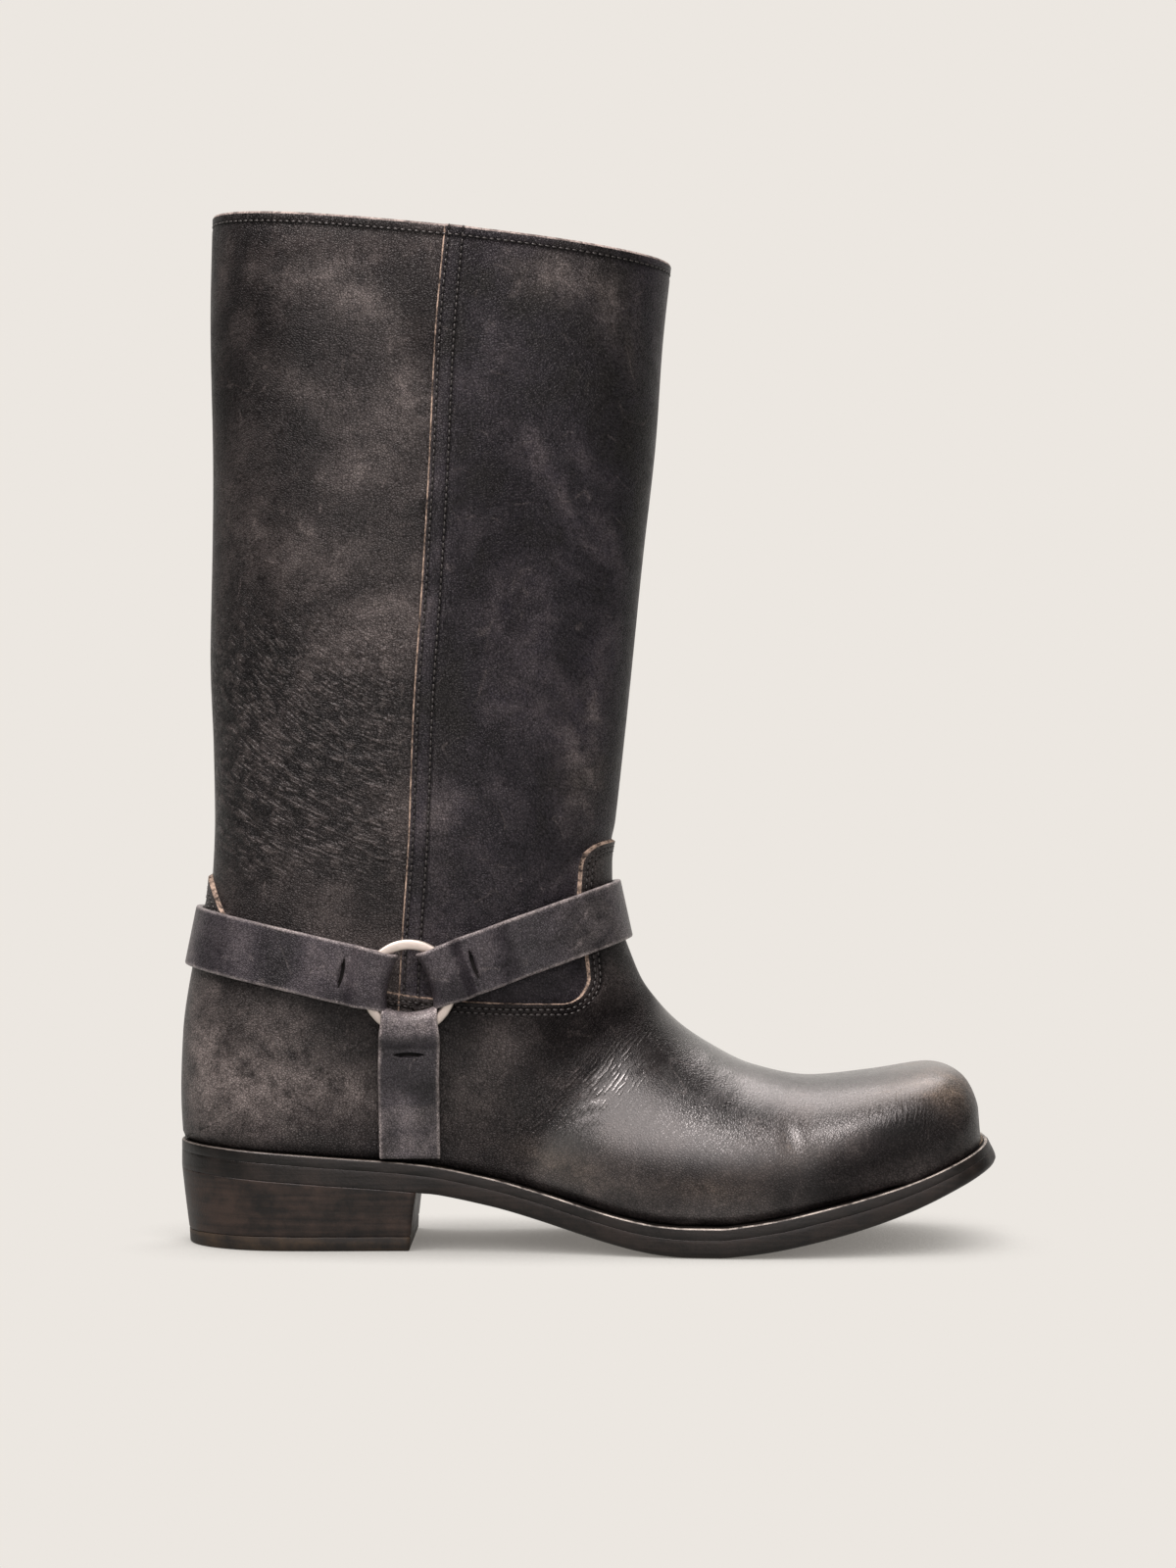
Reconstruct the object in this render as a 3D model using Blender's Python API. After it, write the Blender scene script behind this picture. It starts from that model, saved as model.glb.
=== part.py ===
"""Right-foot harness boot: tall leather shaft, square toe, welted sole, stacked heel, straps on two rings.

Frame: +X points to the toe, +Y to the inner side of the foot, +Z up. The floor is z = 0 and the origin
lies under the middle of the boot. Sizes are in millimetres and MM turns them into metres.
"""
import math
from collections import namedtuple

import bmesh
import bpy
import numpy as np
from mathutils import Matrix, Vector

OBJECT = "harness_boot"
MM = 0.001
GAP = 0.3

# Length of the sole and the ends of its plan.
HEEL_BACK = -155.0
TOE_TIP = 155.3
HEEL_START = -112.0
TOE_START = 122.0
HEEL_ROUND = 2.2
TOE_SQUARE = 3.2

# Layers of the sole, from the floor up.
TOP_LIFT = 5.4
WELT_SHARE = 0.38
WELT_WIDTH = 13.0
INSOLE_THICKNESS = 3.0
BREAST_TOP = -64.0
BREAST_BOTTOM = -66.5
HEEL_TAPER = 2.8

# Leather of the upper: lined wall, and the steps where vamp, counter and side seams lie over it.
WALL = 2.2
VAMP_STEP = 1.6
LAP_STEP = 1.1
LAP_WIDTH = 6.7

# Harness: one ring a side, three straps on each.
STRAP_WIDTH = 22.6
STRAP_FOLD_WIDTH = 20.4
DOWN_FOLD_WIDTH = 15.6
STRAP_THICKNESS = 2.2
STRAP_CLEAR = 0.8
RING_X = -66.2
RING_Z = 99.4
RING_DIAMETER = 35.2
RING_WIRE = 3.8
FRONT_STRAP_RISE = 0.345
BACK_STRAP_RISE = -0.205
STRAP_RETURN = 29.0
SLIT_AT = 25.0
SLIT_LENGTH = 11.0
SLIT_WIDTH = 2.2

# Half-widths of the outsole's plan: outer (little-toe) side and inner (big-toe) side.
Plan = namedtuple("Plan", "x outer inner")
PLAN = (
    Plan(-160, 31.0, 31.0),
    Plan(-125, 34.0, 33.5),
    Plan(-100, 34.8, 33.8),
    Plan(-70, 34.2, 31.8),
    Plan(-40, 35.0, 29.0),
    Plan(-10, 39.2, 31.0),
    Plan(20, 46.4, 38.6),
    Plan(45, 50.4, 46.8),
    Plan(65, 51.2, 51.2),
    Plan(85, 49.9, 52.0),
    Plan(105, 46.8, 49.6),
    Plan(125, 43.0, 46.0),
    Plan(160, 38.0, 41.0),
)

# Along the foot: height of the welt's top face, thickness of the sole's whole edge, and how far the
# welt stands out past the upper.
Seat = namedtuple("Seat", "x top edge margin")
SEAT = (
    Seat(-156, 39.3, 10.6, 0.6),
    Seat(-120, 37.0, 10.6, 0.6),
    Seat(-98, 35.4, 10.6, 0.9),
    Seat(-62, 32.5, 10.6, 1.8),
    Seat(-36, 27.5, 10.6, 3.0),
    Seat(-18, 22.7, 10.7, 3.6),
    Seat(-4, 18.5, 10.8, 3.9),
    Seat(8, 15.1, 10.8, 4.1),
    Seat(18, 12.9, 10.9, 4.3),
    Seat(26, 11.7, 11.0, 4.4),
    Seat(36, 11.1, 11.1, 4.5),
    Seat(48, 11.1, 11.1, 4.5),
    Seat(58, 12.2, 11.3, 4.5),
    Seat(72, 14.6, 11.6, 4.5),
    Seat(88, 18.2, 11.7, 4.5),
    Seat(101, 21.3, 11.4, 4.6),
    Seat(120, 26.9, 10.6, 5.2),
    Seat(138, 34.2, 9.7, 5.8),
    Seat(157, 42.8, 9.2, 5.8),
)

# Sections of the last from toe to collar. Foot sections stand on the welt at base_x and rise to the
# crown line; from HEEL_SECTION on they are closed loops between the back seam and the front.
Section = namedtuple(
    "Section", "base_x base_z crown_x crown_z crown_y belly_out belly_in belly_at crown_round base_round"
)
HEEL_FEATHER = HEEL_BACK + 0.6 + VAMP_STEP
TOE_FEATHER = TOE_TIP - 5.8 - VAMP_STEP
HEEL_SECTION = 14
SECTIONS = (
    Section(TOE_START, 0, TOE_FEATHER, 36.9, 1.5, 38.6, 41.2, 0.02, 3.2, 2.0),
    Section(115, 0, 146.2, 52.3, 2.5, 39.6, 42.4, 0.10, 3.4, 2.0),
    Section(108, 0, 140.9, 62.7, 3.5, 41.2, 43.9, 0.14, 3.2, 2.0),
    Section(100, 0, 131.5, 65.4, 4.0, 42.8, 45.2, 0.18, 3.0, 2.0),
    Section(90, 0, 110.0, 62.5, 4.5, 44.6, 46.8, 0.20, 2.6, 2.0),
    Section(76, 0, 86.0, 60.4, 5.0, 46.2, 47.2, 0.22, 2.3, 2.0),
    Section(56, 0, 63.5, 64.6, 5.0, 46.8, 46.0, 0.24, 2.1, 2.0),
    Section(32, 0, 46.3, 72.9, 4.5, 44.4, 41.4, 0.27, 2.0, 2.0),
    Section(4, 0, 34.0, 81.3, 3.6, 40.8, 37.0, 0.32, 1.95, 2.0),
    Section(-26, 0, 25.3, 90.2, 2.6, 37.4, 35.0, 0.40, 1.95, 2.0),
    Section(-58, 0, 19.2, 98.7, 1.8, 35.8, 34.6, 0.45, 2.0, 2.0),
    Section(-92, 0, 15.1, 108.2, 1.0, 35.6, 34.7, 0.48, 2.05, 2.2),
    Section(-124, 0, 12.0, 116.8, 0.5, 35.8, 35.0, 0.50, 2.1, 2.4),
    Section(-144, 0, 10.0, 125.0, 0.2, 36.1, 35.4, 0.50, 2.1, 2.5),
    Section(HEEL_FEATHER, 0, 8.6, 132.0, 0.0, 36.3, 35.6, 0.50, 2.1, 2.6),
    Section(-153.7, 58.0, 7.7, 138.5, 0.0, 36.6, 36.0, 0.50, 2.1, 2.6),
    Section(-152.9, 80.0, 7.7, 144.5, 0.0, 36.9, 36.3, 0.50, 2.1, 2.5),
    Section(-150.0, 101.0, 8.3, 149.5, 0.0, 37.1, 36.6, 0.50, 2.1, 2.4),
    Section(-146.0, 120.0, 9.2, 154.0, 0.0, 37.3, 36.8, 0.50, 2.1, 2.3),
    Section(-143.4, 139.0, 10.3, 159.0, 0.0, 37.6, 37.1, 0.50, 2.1, 2.2),
    Section(-142.5, 161.0, 11.4, 168.0, 0.0, 37.9, 37.4, 0.50, 2.1, 2.2),
    Section(-143.0, 189.0, 13.6, 188.0, 0.0, 38.4, 37.9, 0.50, 2.1, 2.2),
    Section(-144.3, 226.0, 17.5, 225.0, 0.0, 39.1, 38.6, 0.50, 2.15, 2.2),
    Section(-144.0, 266.0, 21.4, 265.0, 0.0, 39.9, 39.4, 0.50, 2.15, 2.2),
    Section(-143.6, 306.0, 25.4, 303.0, 0.0, 40.7, 40.2, 0.50, 2.15, 2.2),
    Section(-143.8, 347.0, 28.3, 339.0, 0.0, 41.4, 40.9, 0.50, 2.15, 2.2),
    Section(-143.2, 389.8, 32.4, 371.9, 0.0, 42.0, 41.5, 0.50, 2.15, 2.2),
)
COLLAR = len(SECTIONS) - 1

# Seams drawn in the side view: top edge of counter and vamp, top edge of the vamp's tongue, rear edge
# of the tongue, raw edge of the lapped side seam.
Mark = namedtuple("Mark", "x z")
VAMP_EDGE = (
    Mark(-144, 140.0),
    Mark(-136, 124.0),
    Mark(-120, 113.0),
    Mark(-100, 104.5),
    Mark(-76, 97.0),
    Mark(-55, 93.7),
    Mark(-30, 91.6),
    Mark(-4, 90.5),
    Mark(40, 90.0),
)
TONGUE_EDGE = (Mark(-146, 164.0), Mark(-70, 140.0), Mark(-4, 143.0), Mark(4, 149.5), Mark(14, 154.0))
TONGUE_SIDE = (Mark(1.5, 88.0), Mark(-1.5, 116.0), Mark(-3.7, 132.0), Mark(-3.0, 150.0))
LAP_EDGE = (
    Mark(-70.0, 90.0),
    Mark(-68.5, 117.4),
    Mark(-66.1, 153.0),
    Mark(-64.3, 200.0),
    Mark(-61.0, 248.0),
    Mark(-58.5, 290.0),
    Mark(-56.1, 340.0),
    Mark(-52.0, 385.0),
)

# Mesh of the upper: row numbers of its key lines and column numbers of its seams on each side.
ROW_HEEL = 20
ROW_VAMP = 25
ROW_TONGUE = 30
ROW_COLLAR = 38
COLUMN_TONGUE = 4
COLUMN_LAP = 10
COLUMN_BASE = 19
CROWN_AT_HEEL = 7.6
END_STEPS = 9
BODY_STEPS = 22


def curve(knots, values):
    """Smooth curve through the knots that never swings past them."""
    x = np.asarray(knots, float)
    y = np.asarray(values, float)
    step = np.diff(x)
    rise = np.diff(y) / step
    slope = np.zeros_like(y)
    slope[0] = rise[0]
    slope[-1] = rise[-1]
    for i in range(1, len(x) - 1):
        if rise[i - 1] * rise[i] > 0:
            near = 2 * step[i] + step[i - 1]
            far = step[i] + 2 * step[i - 1]
            slope[i] = (near + far) / (near / rise[i - 1] + far / rise[i])

    def at(v):
        v = np.clip(v, x[0], x[-1])
        i = np.clip(np.searchsorted(x, v, side="right") - 1, 0, len(x) - 2)
        t = (v - x[i]) / step[i]
        start = (1 + 2 * t) * (1 - t) ** 2 * y[i] + t * t * (3 - 2 * t) * y[i + 1]
        return start + step[i] * t * (1 - t) * ((1 - t) * slope[i] - t * slope[i + 1])

    return at


def table_curve(rows, knot, value):
    return curve([getattr(row, knot) for row in rows], [getattr(row, value) for row in rows])


def section_curve(value):
    return curve(range(len(SECTIONS)), [getattr(row, value) for row in SECTIONS])


def unit(v):
    return v / np.linalg.norm(v)


def smooth(t):
    t = min(max(t, 0.0), 1.0)
    return t * t * (3 - 2 * t)


plan_half = {-1: table_curve(PLAN, "x", "outer"), 1: table_curve(PLAN, "x", "inner")}
seat_top = table_curve(SEAT, "x", "top")
sole_edge = table_curve(SEAT, "x", "edge")
welt_margin = table_curve(SEAT, "x", "margin")


def half_width(side, x, inset):
    """Half-width of the sole's plan at x, drawn in by inset all round."""
    toe = np.clip((x - TOE_START) / (TOE_TIP - inset - TOE_START), 0, 1)
    heel = np.clip((HEEL_START - x) / (HEEL_START - HEEL_BACK - inset), 0, 1)
    toe_end = (1 - toe**TOE_SQUARE) ** (1 / TOE_SQUARE)
    heel_end = (1 - heel**HEEL_ROUND) ** (1 / HEEL_ROUND)
    return (plan_half[side](x) - inset) * toe_end * heel_end


def outsole_floor(x):
    return np.maximum(seat_top(x) - sole_edge(x), 0.0)


def welt_low(x):
    return seat_top(x) - WELT_SHARE * sole_edge(x)


def outsole_top(x):
    return welt_low(x) - GAP


def leaned(x, z):
    """The sole's edge stands square to its face, so over the toe spring its top lies further back."""
    slope = (seat_top(x + 2) - seat_top(x - 2)) / 4
    return x - slope * smooth((x - 60) / 30) * (z - outsole_floor(x))


def feather(side, x):
    """Half-width of the line where the upper's lining stands on the welt."""
    return half_width(side, x, welt_margin(x) + VAMP_STEP)


base_x = section_curve("base_x")
back_z = curve(range(HEEL_SECTION, len(SECTIONS)), [seat_top(HEEL_FEATHER) + GAP] + [
    row.base_z for row in SECTIONS[HEEL_SECTION + 1:]
])
crown_x = section_curve("crown_x")
crown_z = section_curve("crown_z")
crown_y = section_curve("crown_y")
belly = {-1: section_curve("belly_out"), 1: section_curve("belly_in")}
belly_at = section_curve("belly_at")
crown_round = section_curve("crown_round")
base_round = section_curve("base_round")
QUARTER = np.linspace(0.0, math.pi / 2, 60)


def half_section(r, side):
    """Points of one half of section r, from the crown down to the base, and their share of its length."""
    closed = r >= HEEL_SECTION
    foot_x = float(base_x(r))
    foot_z = float(back_z(r)) if closed else float(seat_top(foot_x)) + GAP
    top_z = float(crown_z(r))
    if r < 1:
        top_z = (1 - r) * (float(seat_top(TOE_FEATHER)) + GAP) + r * top_z
    wide = float(belly[side](r))
    at = float(belly_at(r))
    power = 2 / float(crown_round(r))
    upper_t = at + (1 - at) * np.cos(QUARTER) ** power
    upper_half = wide * np.sin(QUARTER) ** power
    drop = np.sin(QUARTER[1:])
    round_power = 2 / float(base_round(r))
    lower_t = at * (1 - drop**round_power)
    foot = foot_x + (float(crown_x(r)) - foot_x) * lower_t
    if closed:
        foot = foot + HEEL_FEATHER - foot_x
    swell = (lower_t / at) ** 2 * (3 - 2 * lower_t / at)
    cup = feather(side, foot) * (1 - swell) + wide * swell
    loop = smooth((r - HEEL_SECTION) / 5)
    lower_half = cup * (1 - loop) + wide * np.cos(QUARTER[1:]) ** round_power * loop
    t = np.concatenate([upper_t, lower_t])
    half = np.concatenate([upper_half, lower_half])
    x = foot_x + (float(crown_x(r)) - foot_x) * t
    if r < 1:
        half = r * half + (1 - r) * feather(side, x)
    y = float(crown_y(r)) * t * t + side * half
    z = foot_z + (top_z - foot_z) * t
    if r < 1:
        z = r * z + (1 - r) * (seat_top(x) + GAP)
    points = np.stack([x, y, z], axis=1)
    length = np.concatenate([[0], np.cumsum(np.linalg.norm(np.diff(points, axis=0), axis=1))])
    return points, length / length[-1]


def skin(r, c):
    """Point on the upper's outer face: section r, share c of the half-section, below 0 on the outer side."""
    points, share = half_section(r, -1 if c < 0 else 1)
    return np.array([np.interp(abs(c), share, points[:, k]) for k in range(3)])


def skin_normal(r, c):
    dr, dc = 0.02, 0.01
    low_r, high_r = max(r - dr, 0.0), min(r + dr, COLLAR)
    if r < HEEL_SECTION and abs(c) > 1 - dc:
        c = math.copysign(1 - dc, c)
    if r >= HEEL_SECTION and abs(c) > 1 - dc:
        along = skin(r, 1 - dc) - skin(r, -1 + dc)
    else:
        along = skin(r, c + dc) - skin(r, c - dc)
    up = skin(high_r, c) - skin(low_r, c)
    normal = np.cross(along, up)
    if r >= HEEL_SECTION and abs(c) > 1 - dc:
        normal = -normal
        normal[1] = 0.0
    if normal @ (skin(r, c) - np.array([skin(r, 0.5)[0], 0.0, skin(r, 0.5)[2]])) < 0:
        normal = -normal
    return normal / np.linalg.norm(normal)


def solve(wrong, low, high):
    """Value between low and high where wrong changes sign."""
    sign = wrong(low) > 0
    for _ in range(34):
        middle = (low + high) / 2
        if (wrong(middle) > 0) == sign:
            low = middle
        else:
            high = middle
    return (low + high) / 2


def section_on_line(c, height, low, high):
    """Section whose point at share c lies on the side view's line height(x)."""

    def wrong(r):
        point = skin(r, c)
        return point[2] - height(point[0])

    return solve(wrong, low, high)


def make_material(name, colour, metallic, roughness):
    material = bpy.data.materials.new(name)
    material.use_nodes = True
    shader = material.node_tree.nodes["Principled BSDF"]
    shader.inputs["Base Color"].default_value = (*colour, 1.0)
    shader.inputs["Metallic"].default_value = metallic
    shader.inputs["Roughness"].default_value = roughness
    return material


def add_object(name, mesh, collection, material=None):
    piece = bpy.data.objects.new(name, mesh)
    collection.objects.link(piece)
    if material:
        mesh.materials.append(material)
    return piece


def solid_mesh(name, points, faces, split=False):
    """Closed mesh from points in millimetres, coinciding points made one, faces turned out, split on ask."""
    mesh = bpy.data.meshes.new(name)
    mesh.from_pydata([tuple(float(v) * MM for v in p) for p in points], [], faces)
    shell = bmesh.new()
    shell.from_mesh(mesh)
    bmesh.ops.remove_doubles(shell, verts=shell.verts, dist=1e-6)
    bmesh.ops.dissolve_degenerate(shell, edges=shell.edges, dist=1e-7)
    bmesh.ops.recalc_face_normals(shell, faces=shell.faces)
    if split:
        bmesh.ops.triangulate(shell, faces=shell.faces, quad_method="SHORT_EDGE")
    shell.to_mesh(mesh)
    shell.free()
    return mesh


def end_angles():
    return np.linspace(0.0, math.pi / 2, END_STEPS + 1)


def plan_stations(inset, front):
    """Stations along the plan, close together where its ends turn; front cuts the plan off early."""
    reach = HEEL_START - HEEL_BACK - inset
    heel = HEEL_START - reach * np.sin(end_angles()[::-1]) ** (2 / HEEL_ROUND)
    if front is not None:
        return np.concatenate([heel, np.linspace(HEEL_START, front, 5)[1:]])
    body = np.linspace(HEEL_START, TOE_START, BODY_STEPS + 1)[1:-1]
    toe = TOE_START + (TOE_TIP - inset - TOE_START) * np.sin(end_angles()) ** (2 / TOE_SQUARE)
    return np.concatenate([heel, body, toe])


Level = namedtuple("Level", "inset height front")


def plan_solid(name, levels):
    """Solid whose plan is the sole's, drawn level by level from the lowest face to the topmost."""
    points = []
    rows = []
    for level in levels:
        row = []
        for x in plan_stations(level.inset, level.front):
            pair = []
            for side in (-1, 1):
                pair.append(len(points))
                back = leaned(x, level.height(x))
                points.append((back, side * half_width(side, x, level.inset), level.height(back)))
            row.append(pair)
        rows.append(row)
    faces = []
    last = len(rows[0]) - 1
    for k in range(last):
        for row in (rows[0], rows[-1]):
            faces.append((row[k][0], row[k + 1][0], row[k + 1][1], row[k][1]))
    for low, high in zip(rows, rows[1:]):
        for k in range(last):
            for s in (0, 1):
                faces.append((low[k][s], low[k + 1][s], high[k + 1][s], high[k][s]))
        for k in (0, last):
            faces.append((low[k][0], low[k][1], high[k][1], high[k][0]))
    return solid_mesh(name, points, faces)


def plan_ring(name, width, low, high):
    """Closed strip of the given width that runs round the sole's plan between two heights."""
    points = []
    loops = []
    for inset in (0.0, width):
        x = plan_stations(inset, None)
        outer = [(v, -half_width(-1, v, inset)) for v in x]
        inner = [(v, half_width(1, v, inset)) for v in x[-2:0:-1]]
        for height in (low, high):
            loop = []
            for px, py in outer + inner:
                loop.append(len(points))
                back = leaned(px, height(px))
                points.append((back, py, height(back)))
            loops.append(loop)
    faces = []
    count = len(loops[0])
    for a, b in ((0, 1), (1, 3), (3, 2), (2, 0)):
        for k in range(count):
            n = (k + 1) % count
            faces.append((loops[a][k], loops[a][n], loops[b][n], loops[b][k]))
    return solid_mesh(name, points, faces)


def upper_mesh(name):
    """Hollow upper: grid of sections, steps for vamp, counter and laps, open at the collar and below."""
    vamp_line = table_curve(VAMP_EDGE, "x", "z")
    tongue_line = table_curve(TONGUE_EDGE, "x", "z")
    tongue_side = table_curve(TONGUE_SIDE, "z", "x")
    lap_line = table_curve(LAP_EDGE, "z", "x")
    shares = np.linspace(0, 1, 29)
    rows_key = (ROW_HEEL, ROW_VAMP, ROW_TONGUE, ROW_COLLAR)
    columns_key = (0, COLUMN_TONGUE, COLUMN_LAP, COLUMN_LAP + 1, COLUMN_BASE)
    even = [k / COLUMN_BASE for k in columns_key]
    nodes = {}
    for side in (-1, 1):
        vamp_r = np.array([section_on_line(side * c, vamp_line, 7.8, 21) for c in shares])
        tongue_r = np.array([section_on_line(side * c, tongue_line, 11, 23) for c in shares])

        def section_of(row, c):
            foot = min(row, ROW_HEEL)
            crown = CROWN_AT_HEEL * foot / ROW_HEEL
            base = np.interp(foot, (0, 8, 12, ROW_HEEL), (0, 7.6, 11, HEEL_SECTION))
            heel = crown + (base - crown) * smooth(c)
            keys = (heel, np.interp(c, shares, vamp_r), np.interp(c, shares, tongue_r), COLLAR)
            return float(np.interp(row, rows_key, keys)) if row > ROW_HEEL else float(heel)

        def share_at(row, line, low, high):
            def wrong(c):
                point = skin(section_of(row, c), side * c)
                return point[0] - line(point[2])

            return solve(wrong, low, high)

        seams = {}
        for row in range(ROW_VAMP, ROW_COLLAR + 1):
            tongue_c = share_at(min(row, ROW_TONGUE), tongue_side, 0.02, 0.5)
            front_c = share_at(row, lambda z: lap_line(z) + LAP_WIDTH, 0.2, 0.9)
            rear_c = share_at(row, lap_line, 0.2, 0.9)
            seams[row] = [0, tongue_c, front_c, rear_c, 1]
        for row in range(ROW_COLLAR + 1):
            keys = seams[max(row, ROW_VAMP)]
            if row < ROW_VAMP:
                f = row / ROW_VAMP
                keys = [(1 - f) * a + f * b for a, b in zip(even, keys)]
            for column in range(COLUMN_BASE + 1):
                c = float(np.interp(column, columns_key, keys))
                r = section_of(row, c)
                nodes[row, side * column] = (skin(r, side * c), skin_normal(r, side * c))
        for row in range(ROW_HEEL, ROW_COLLAR + 1):
            nodes[row, -COLUMN_BASE] = nodes.get((row, COLUMN_BASE), nodes[row, -COLUMN_BASE])

    def spot(row, column):
        if row >= ROW_HEEL and column == -COLUMN_BASE:
            return row, COLUMN_BASE
        return row, column

    def height(row, column):
        reach = abs(column + 0.5)
        if row < ROW_VAMP or (row < ROW_TONGUE and reach < COLUMN_TONGUE):
            return VAMP_STEP
        if COLUMN_LAP < reach < COLUMN_LAP + 1:
            return LAP_STEP
        return 0.0

    points = []
    number = {}

    def vertex(row, column, level):
        key = (*spot(row, column), level)
        if key not in number:
            place, normal = nodes[spot(row, column)]
            number[key] = len(points)
            point = place + normal * level
            if row == 0 or (abs(column) == COLUMN_BASE and row <= ROW_HEEL):
                level_out = unit(np.array([normal[0], normal[1], 0.0]))
                point = place + level_out * level
                point[2] = seat_top(point[0]) + GAP + 0.3
            points.append(point)
        return number[key]

    columns = range(-COLUMN_BASE, COLUMN_BASE)
    levels = {}
    for row in range(ROW_COLLAR):
        for column in columns:
            for corner in ((0, 0), (0, 1), (1, 1), (1, 0)):
                key = spot(row + corner[0], column + corner[1])
                levels.setdefault(key, set()).add(height(row, column))
    faces = []

    def wall(a, b, one, two):
        if one == two:
            return
        low, high = min(one, two), max(one, two)
        rising = [v for v in sorted(levels[spot(*a)]) if low <= v <= high]
        falling = [v for v in sorted(levels[spot(*b)], reverse=True) if low <= v <= high]
        faces.append([vertex(*a, v) for v in rising] + [vertex(*b, v) for v in falling])

    for row in range(ROW_COLLAR):
        for column in columns:
            corners = ((row, column), (row, column + 1), (row + 1, column + 1), (row + 1, column))
            level = height(row, column)
            faces.append([vertex(*corner, level) for corner in corners])
            faces.append([vertex(*corner, -WALL) for corner in corners[::-1]])
            if row + 1 < ROW_COLLAR:
                wall(corners[3], corners[2], level, height(row + 1, column))
            if column + 1 < COLUMN_BASE:
                wall(corners[1], corners[2], level, height(row, column + 1))

    top = ROW_COLLAR
    for column in columns:
        level = height(top - 1, column)
        faces.append([
            vertex(top, column, level),
            vertex(top, column + 1, level),
            vertex(top, column + 1, -WALL),
            vertex(top, column, -WALL),
        ])
        if column + 1 < COLUMN_BASE and height(top - 1, column + 1) != level:
            after = height(top - 1, column + 1)
            inside = vertex(top, column + 1, -WALL)
            faces.append([vertex(top, column + 1, level), vertex(top, column + 1, after), inside])
    rim = [(0, column) for column in range(-COLUMN_BASE, COLUMN_BASE + 1)]
    rim = [(row, -COLUMN_BASE) for row in range(ROW_HEEL, 0, -1)] + rim
    rim += [(row, COLUMN_BASE) for row in range(1, ROW_HEEL + 1)]
    for a, b in zip(rim, rim[1:]):
        faces.append([vertex(*a, VAMP_STEP), vertex(*b, VAMP_STEP), vertex(*b, -WALL), vertex(*a, -WALL)])
    return solid_mesh(name, points, faces, split=True)


def side_point(side, x, z):
    """Point on the upper's outer face at a place in the side view, away from its outline."""

    def wrong(r):
        foot = float(base_x(r))
        foot_z = float(back_z(r)) if r >= HEEL_SECTION else float(seat_top(foot)) + GAP
        run, rise = float(crown_x(r)) - foot, float(crown_z(r)) - foot_z
        return run * (z - foot_z) - rise * (x - foot)

    r = solve(wrong, 4.0, float(COLLAR))
    points, _ = half_section(r, side)
    order = np.argsort(points[:, 0], kind="stable")
    y = np.interp(x, points[order, 0], points[order, 1])
    return np.array([x, y, z])


def ring_seat(side):
    """Foot point and outward direction of the ring on one side."""
    middle = side_point(side, RING_X, RING_Z)
    along = side_point(side, RING_X + 12, RING_Z) - side_point(side, RING_X - 12, RING_Z)
    up = side_point(side, RING_X, RING_Z + 12) - side_point(side, RING_X, RING_Z - 12)
    normal = np.cross(along, up)
    normal *= side * np.sign(normal[1])
    return middle, normal / np.linalg.norm(normal)


STRAP_LOW = VAMP_STEP + STRAP_CLEAR + STRAP_THICKNESS / 2
FOLD_POINTS = 11
FOLD = (RING_WIRE + STRAP_THICKNESS) / 2 + 0.3
RING_HEIGHT = STRAP_LOW + FOLD
RING_RADIUS = (RING_DIAMETER - RING_WIRE) / 2


def fold_path(width):
    """Run of a strap's end at a ring: distance from the ring's middle and height over the upper."""
    fold_at = math.sqrt(RING_RADIUS**2 - (width / 2 + 0.9) ** 2)
    path = [(s, STRAP_LOW) for s in np.linspace(STRAP_RETURN, fold_at, 4)]
    for angle in np.linspace(-90, 90, 9)[1:-1]:
        a = math.radians(angle)
        path.append((fold_at - FOLD * math.cos(a), RING_HEIGHT + FOLD * math.sin(a)))
    lay = STRAP_LOW + STRAP_THICKNESS + 0.3
    path += [(fold_at, RING_HEIGHT + FOLD), ((fold_at + 18.6) / 2, RING_HEIGHT + FOLD)]
    path += [(18.6, RING_HEIGHT + FOLD), (21, lay + 1.4), (23, lay)]
    path += [(25, lay), (27, lay), (31, lay), (34.5, lay - 1.4), (38.5, STRAP_LOW + 0.2), (42, STRAP_LOW)]
    return path


class Run:
    """Centre line of a strap on the upper with its two edges, measured from a ring's middle."""

    def __init__(self, middle, first, second):
        self.middle, self.first, self.second = middle, first, second
        steps = np.linalg.norm(np.diff(middle, axis=0), axis=1)
        self.length = np.concatenate([[0], np.cumsum(steps)])
        self.start = 0.0

    def along(self, s):
        return np.array([np.interp(s + self.start, self.length, self.middle[:, k]) for k in range(3)])

    def edge(self, line, point, tangent):
        near = np.linalg.norm(line - point, axis=1) < 2 * STRAP_WIDTH
        ahead = (line - point) @ tangent
        for i in range(len(line) - 1):
            if near[i] and ahead[i] <= 0 < ahead[i + 1]:
                f = ahead[i] / (ahead[i] - ahead[i + 1])
                return line[i] * (1 - f) + line[i + 1] * f
        return line[np.argmin(np.where(near, np.abs(ahead), 1e9))]

    def frame(self, s):
        """Foot point, outward direction and width direction at distance s."""
        point = self.along(s)
        tangent = unit(self.along(s + 1.5) - self.along(s - 1.5))
        a = self.edge(self.first, point, tangent)
        b = self.edge(self.second, point, tangent)
        across = unit(a - b)
        out = unit(np.cross(tangent, across))
        if out @ (point - np.array([-70.0, 0.0, point[2]])) < 0:
            out = -out
        foot = (a + b) / 2
        return foot + out * max((point - foot) @ out, 0.0), out, across


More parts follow.
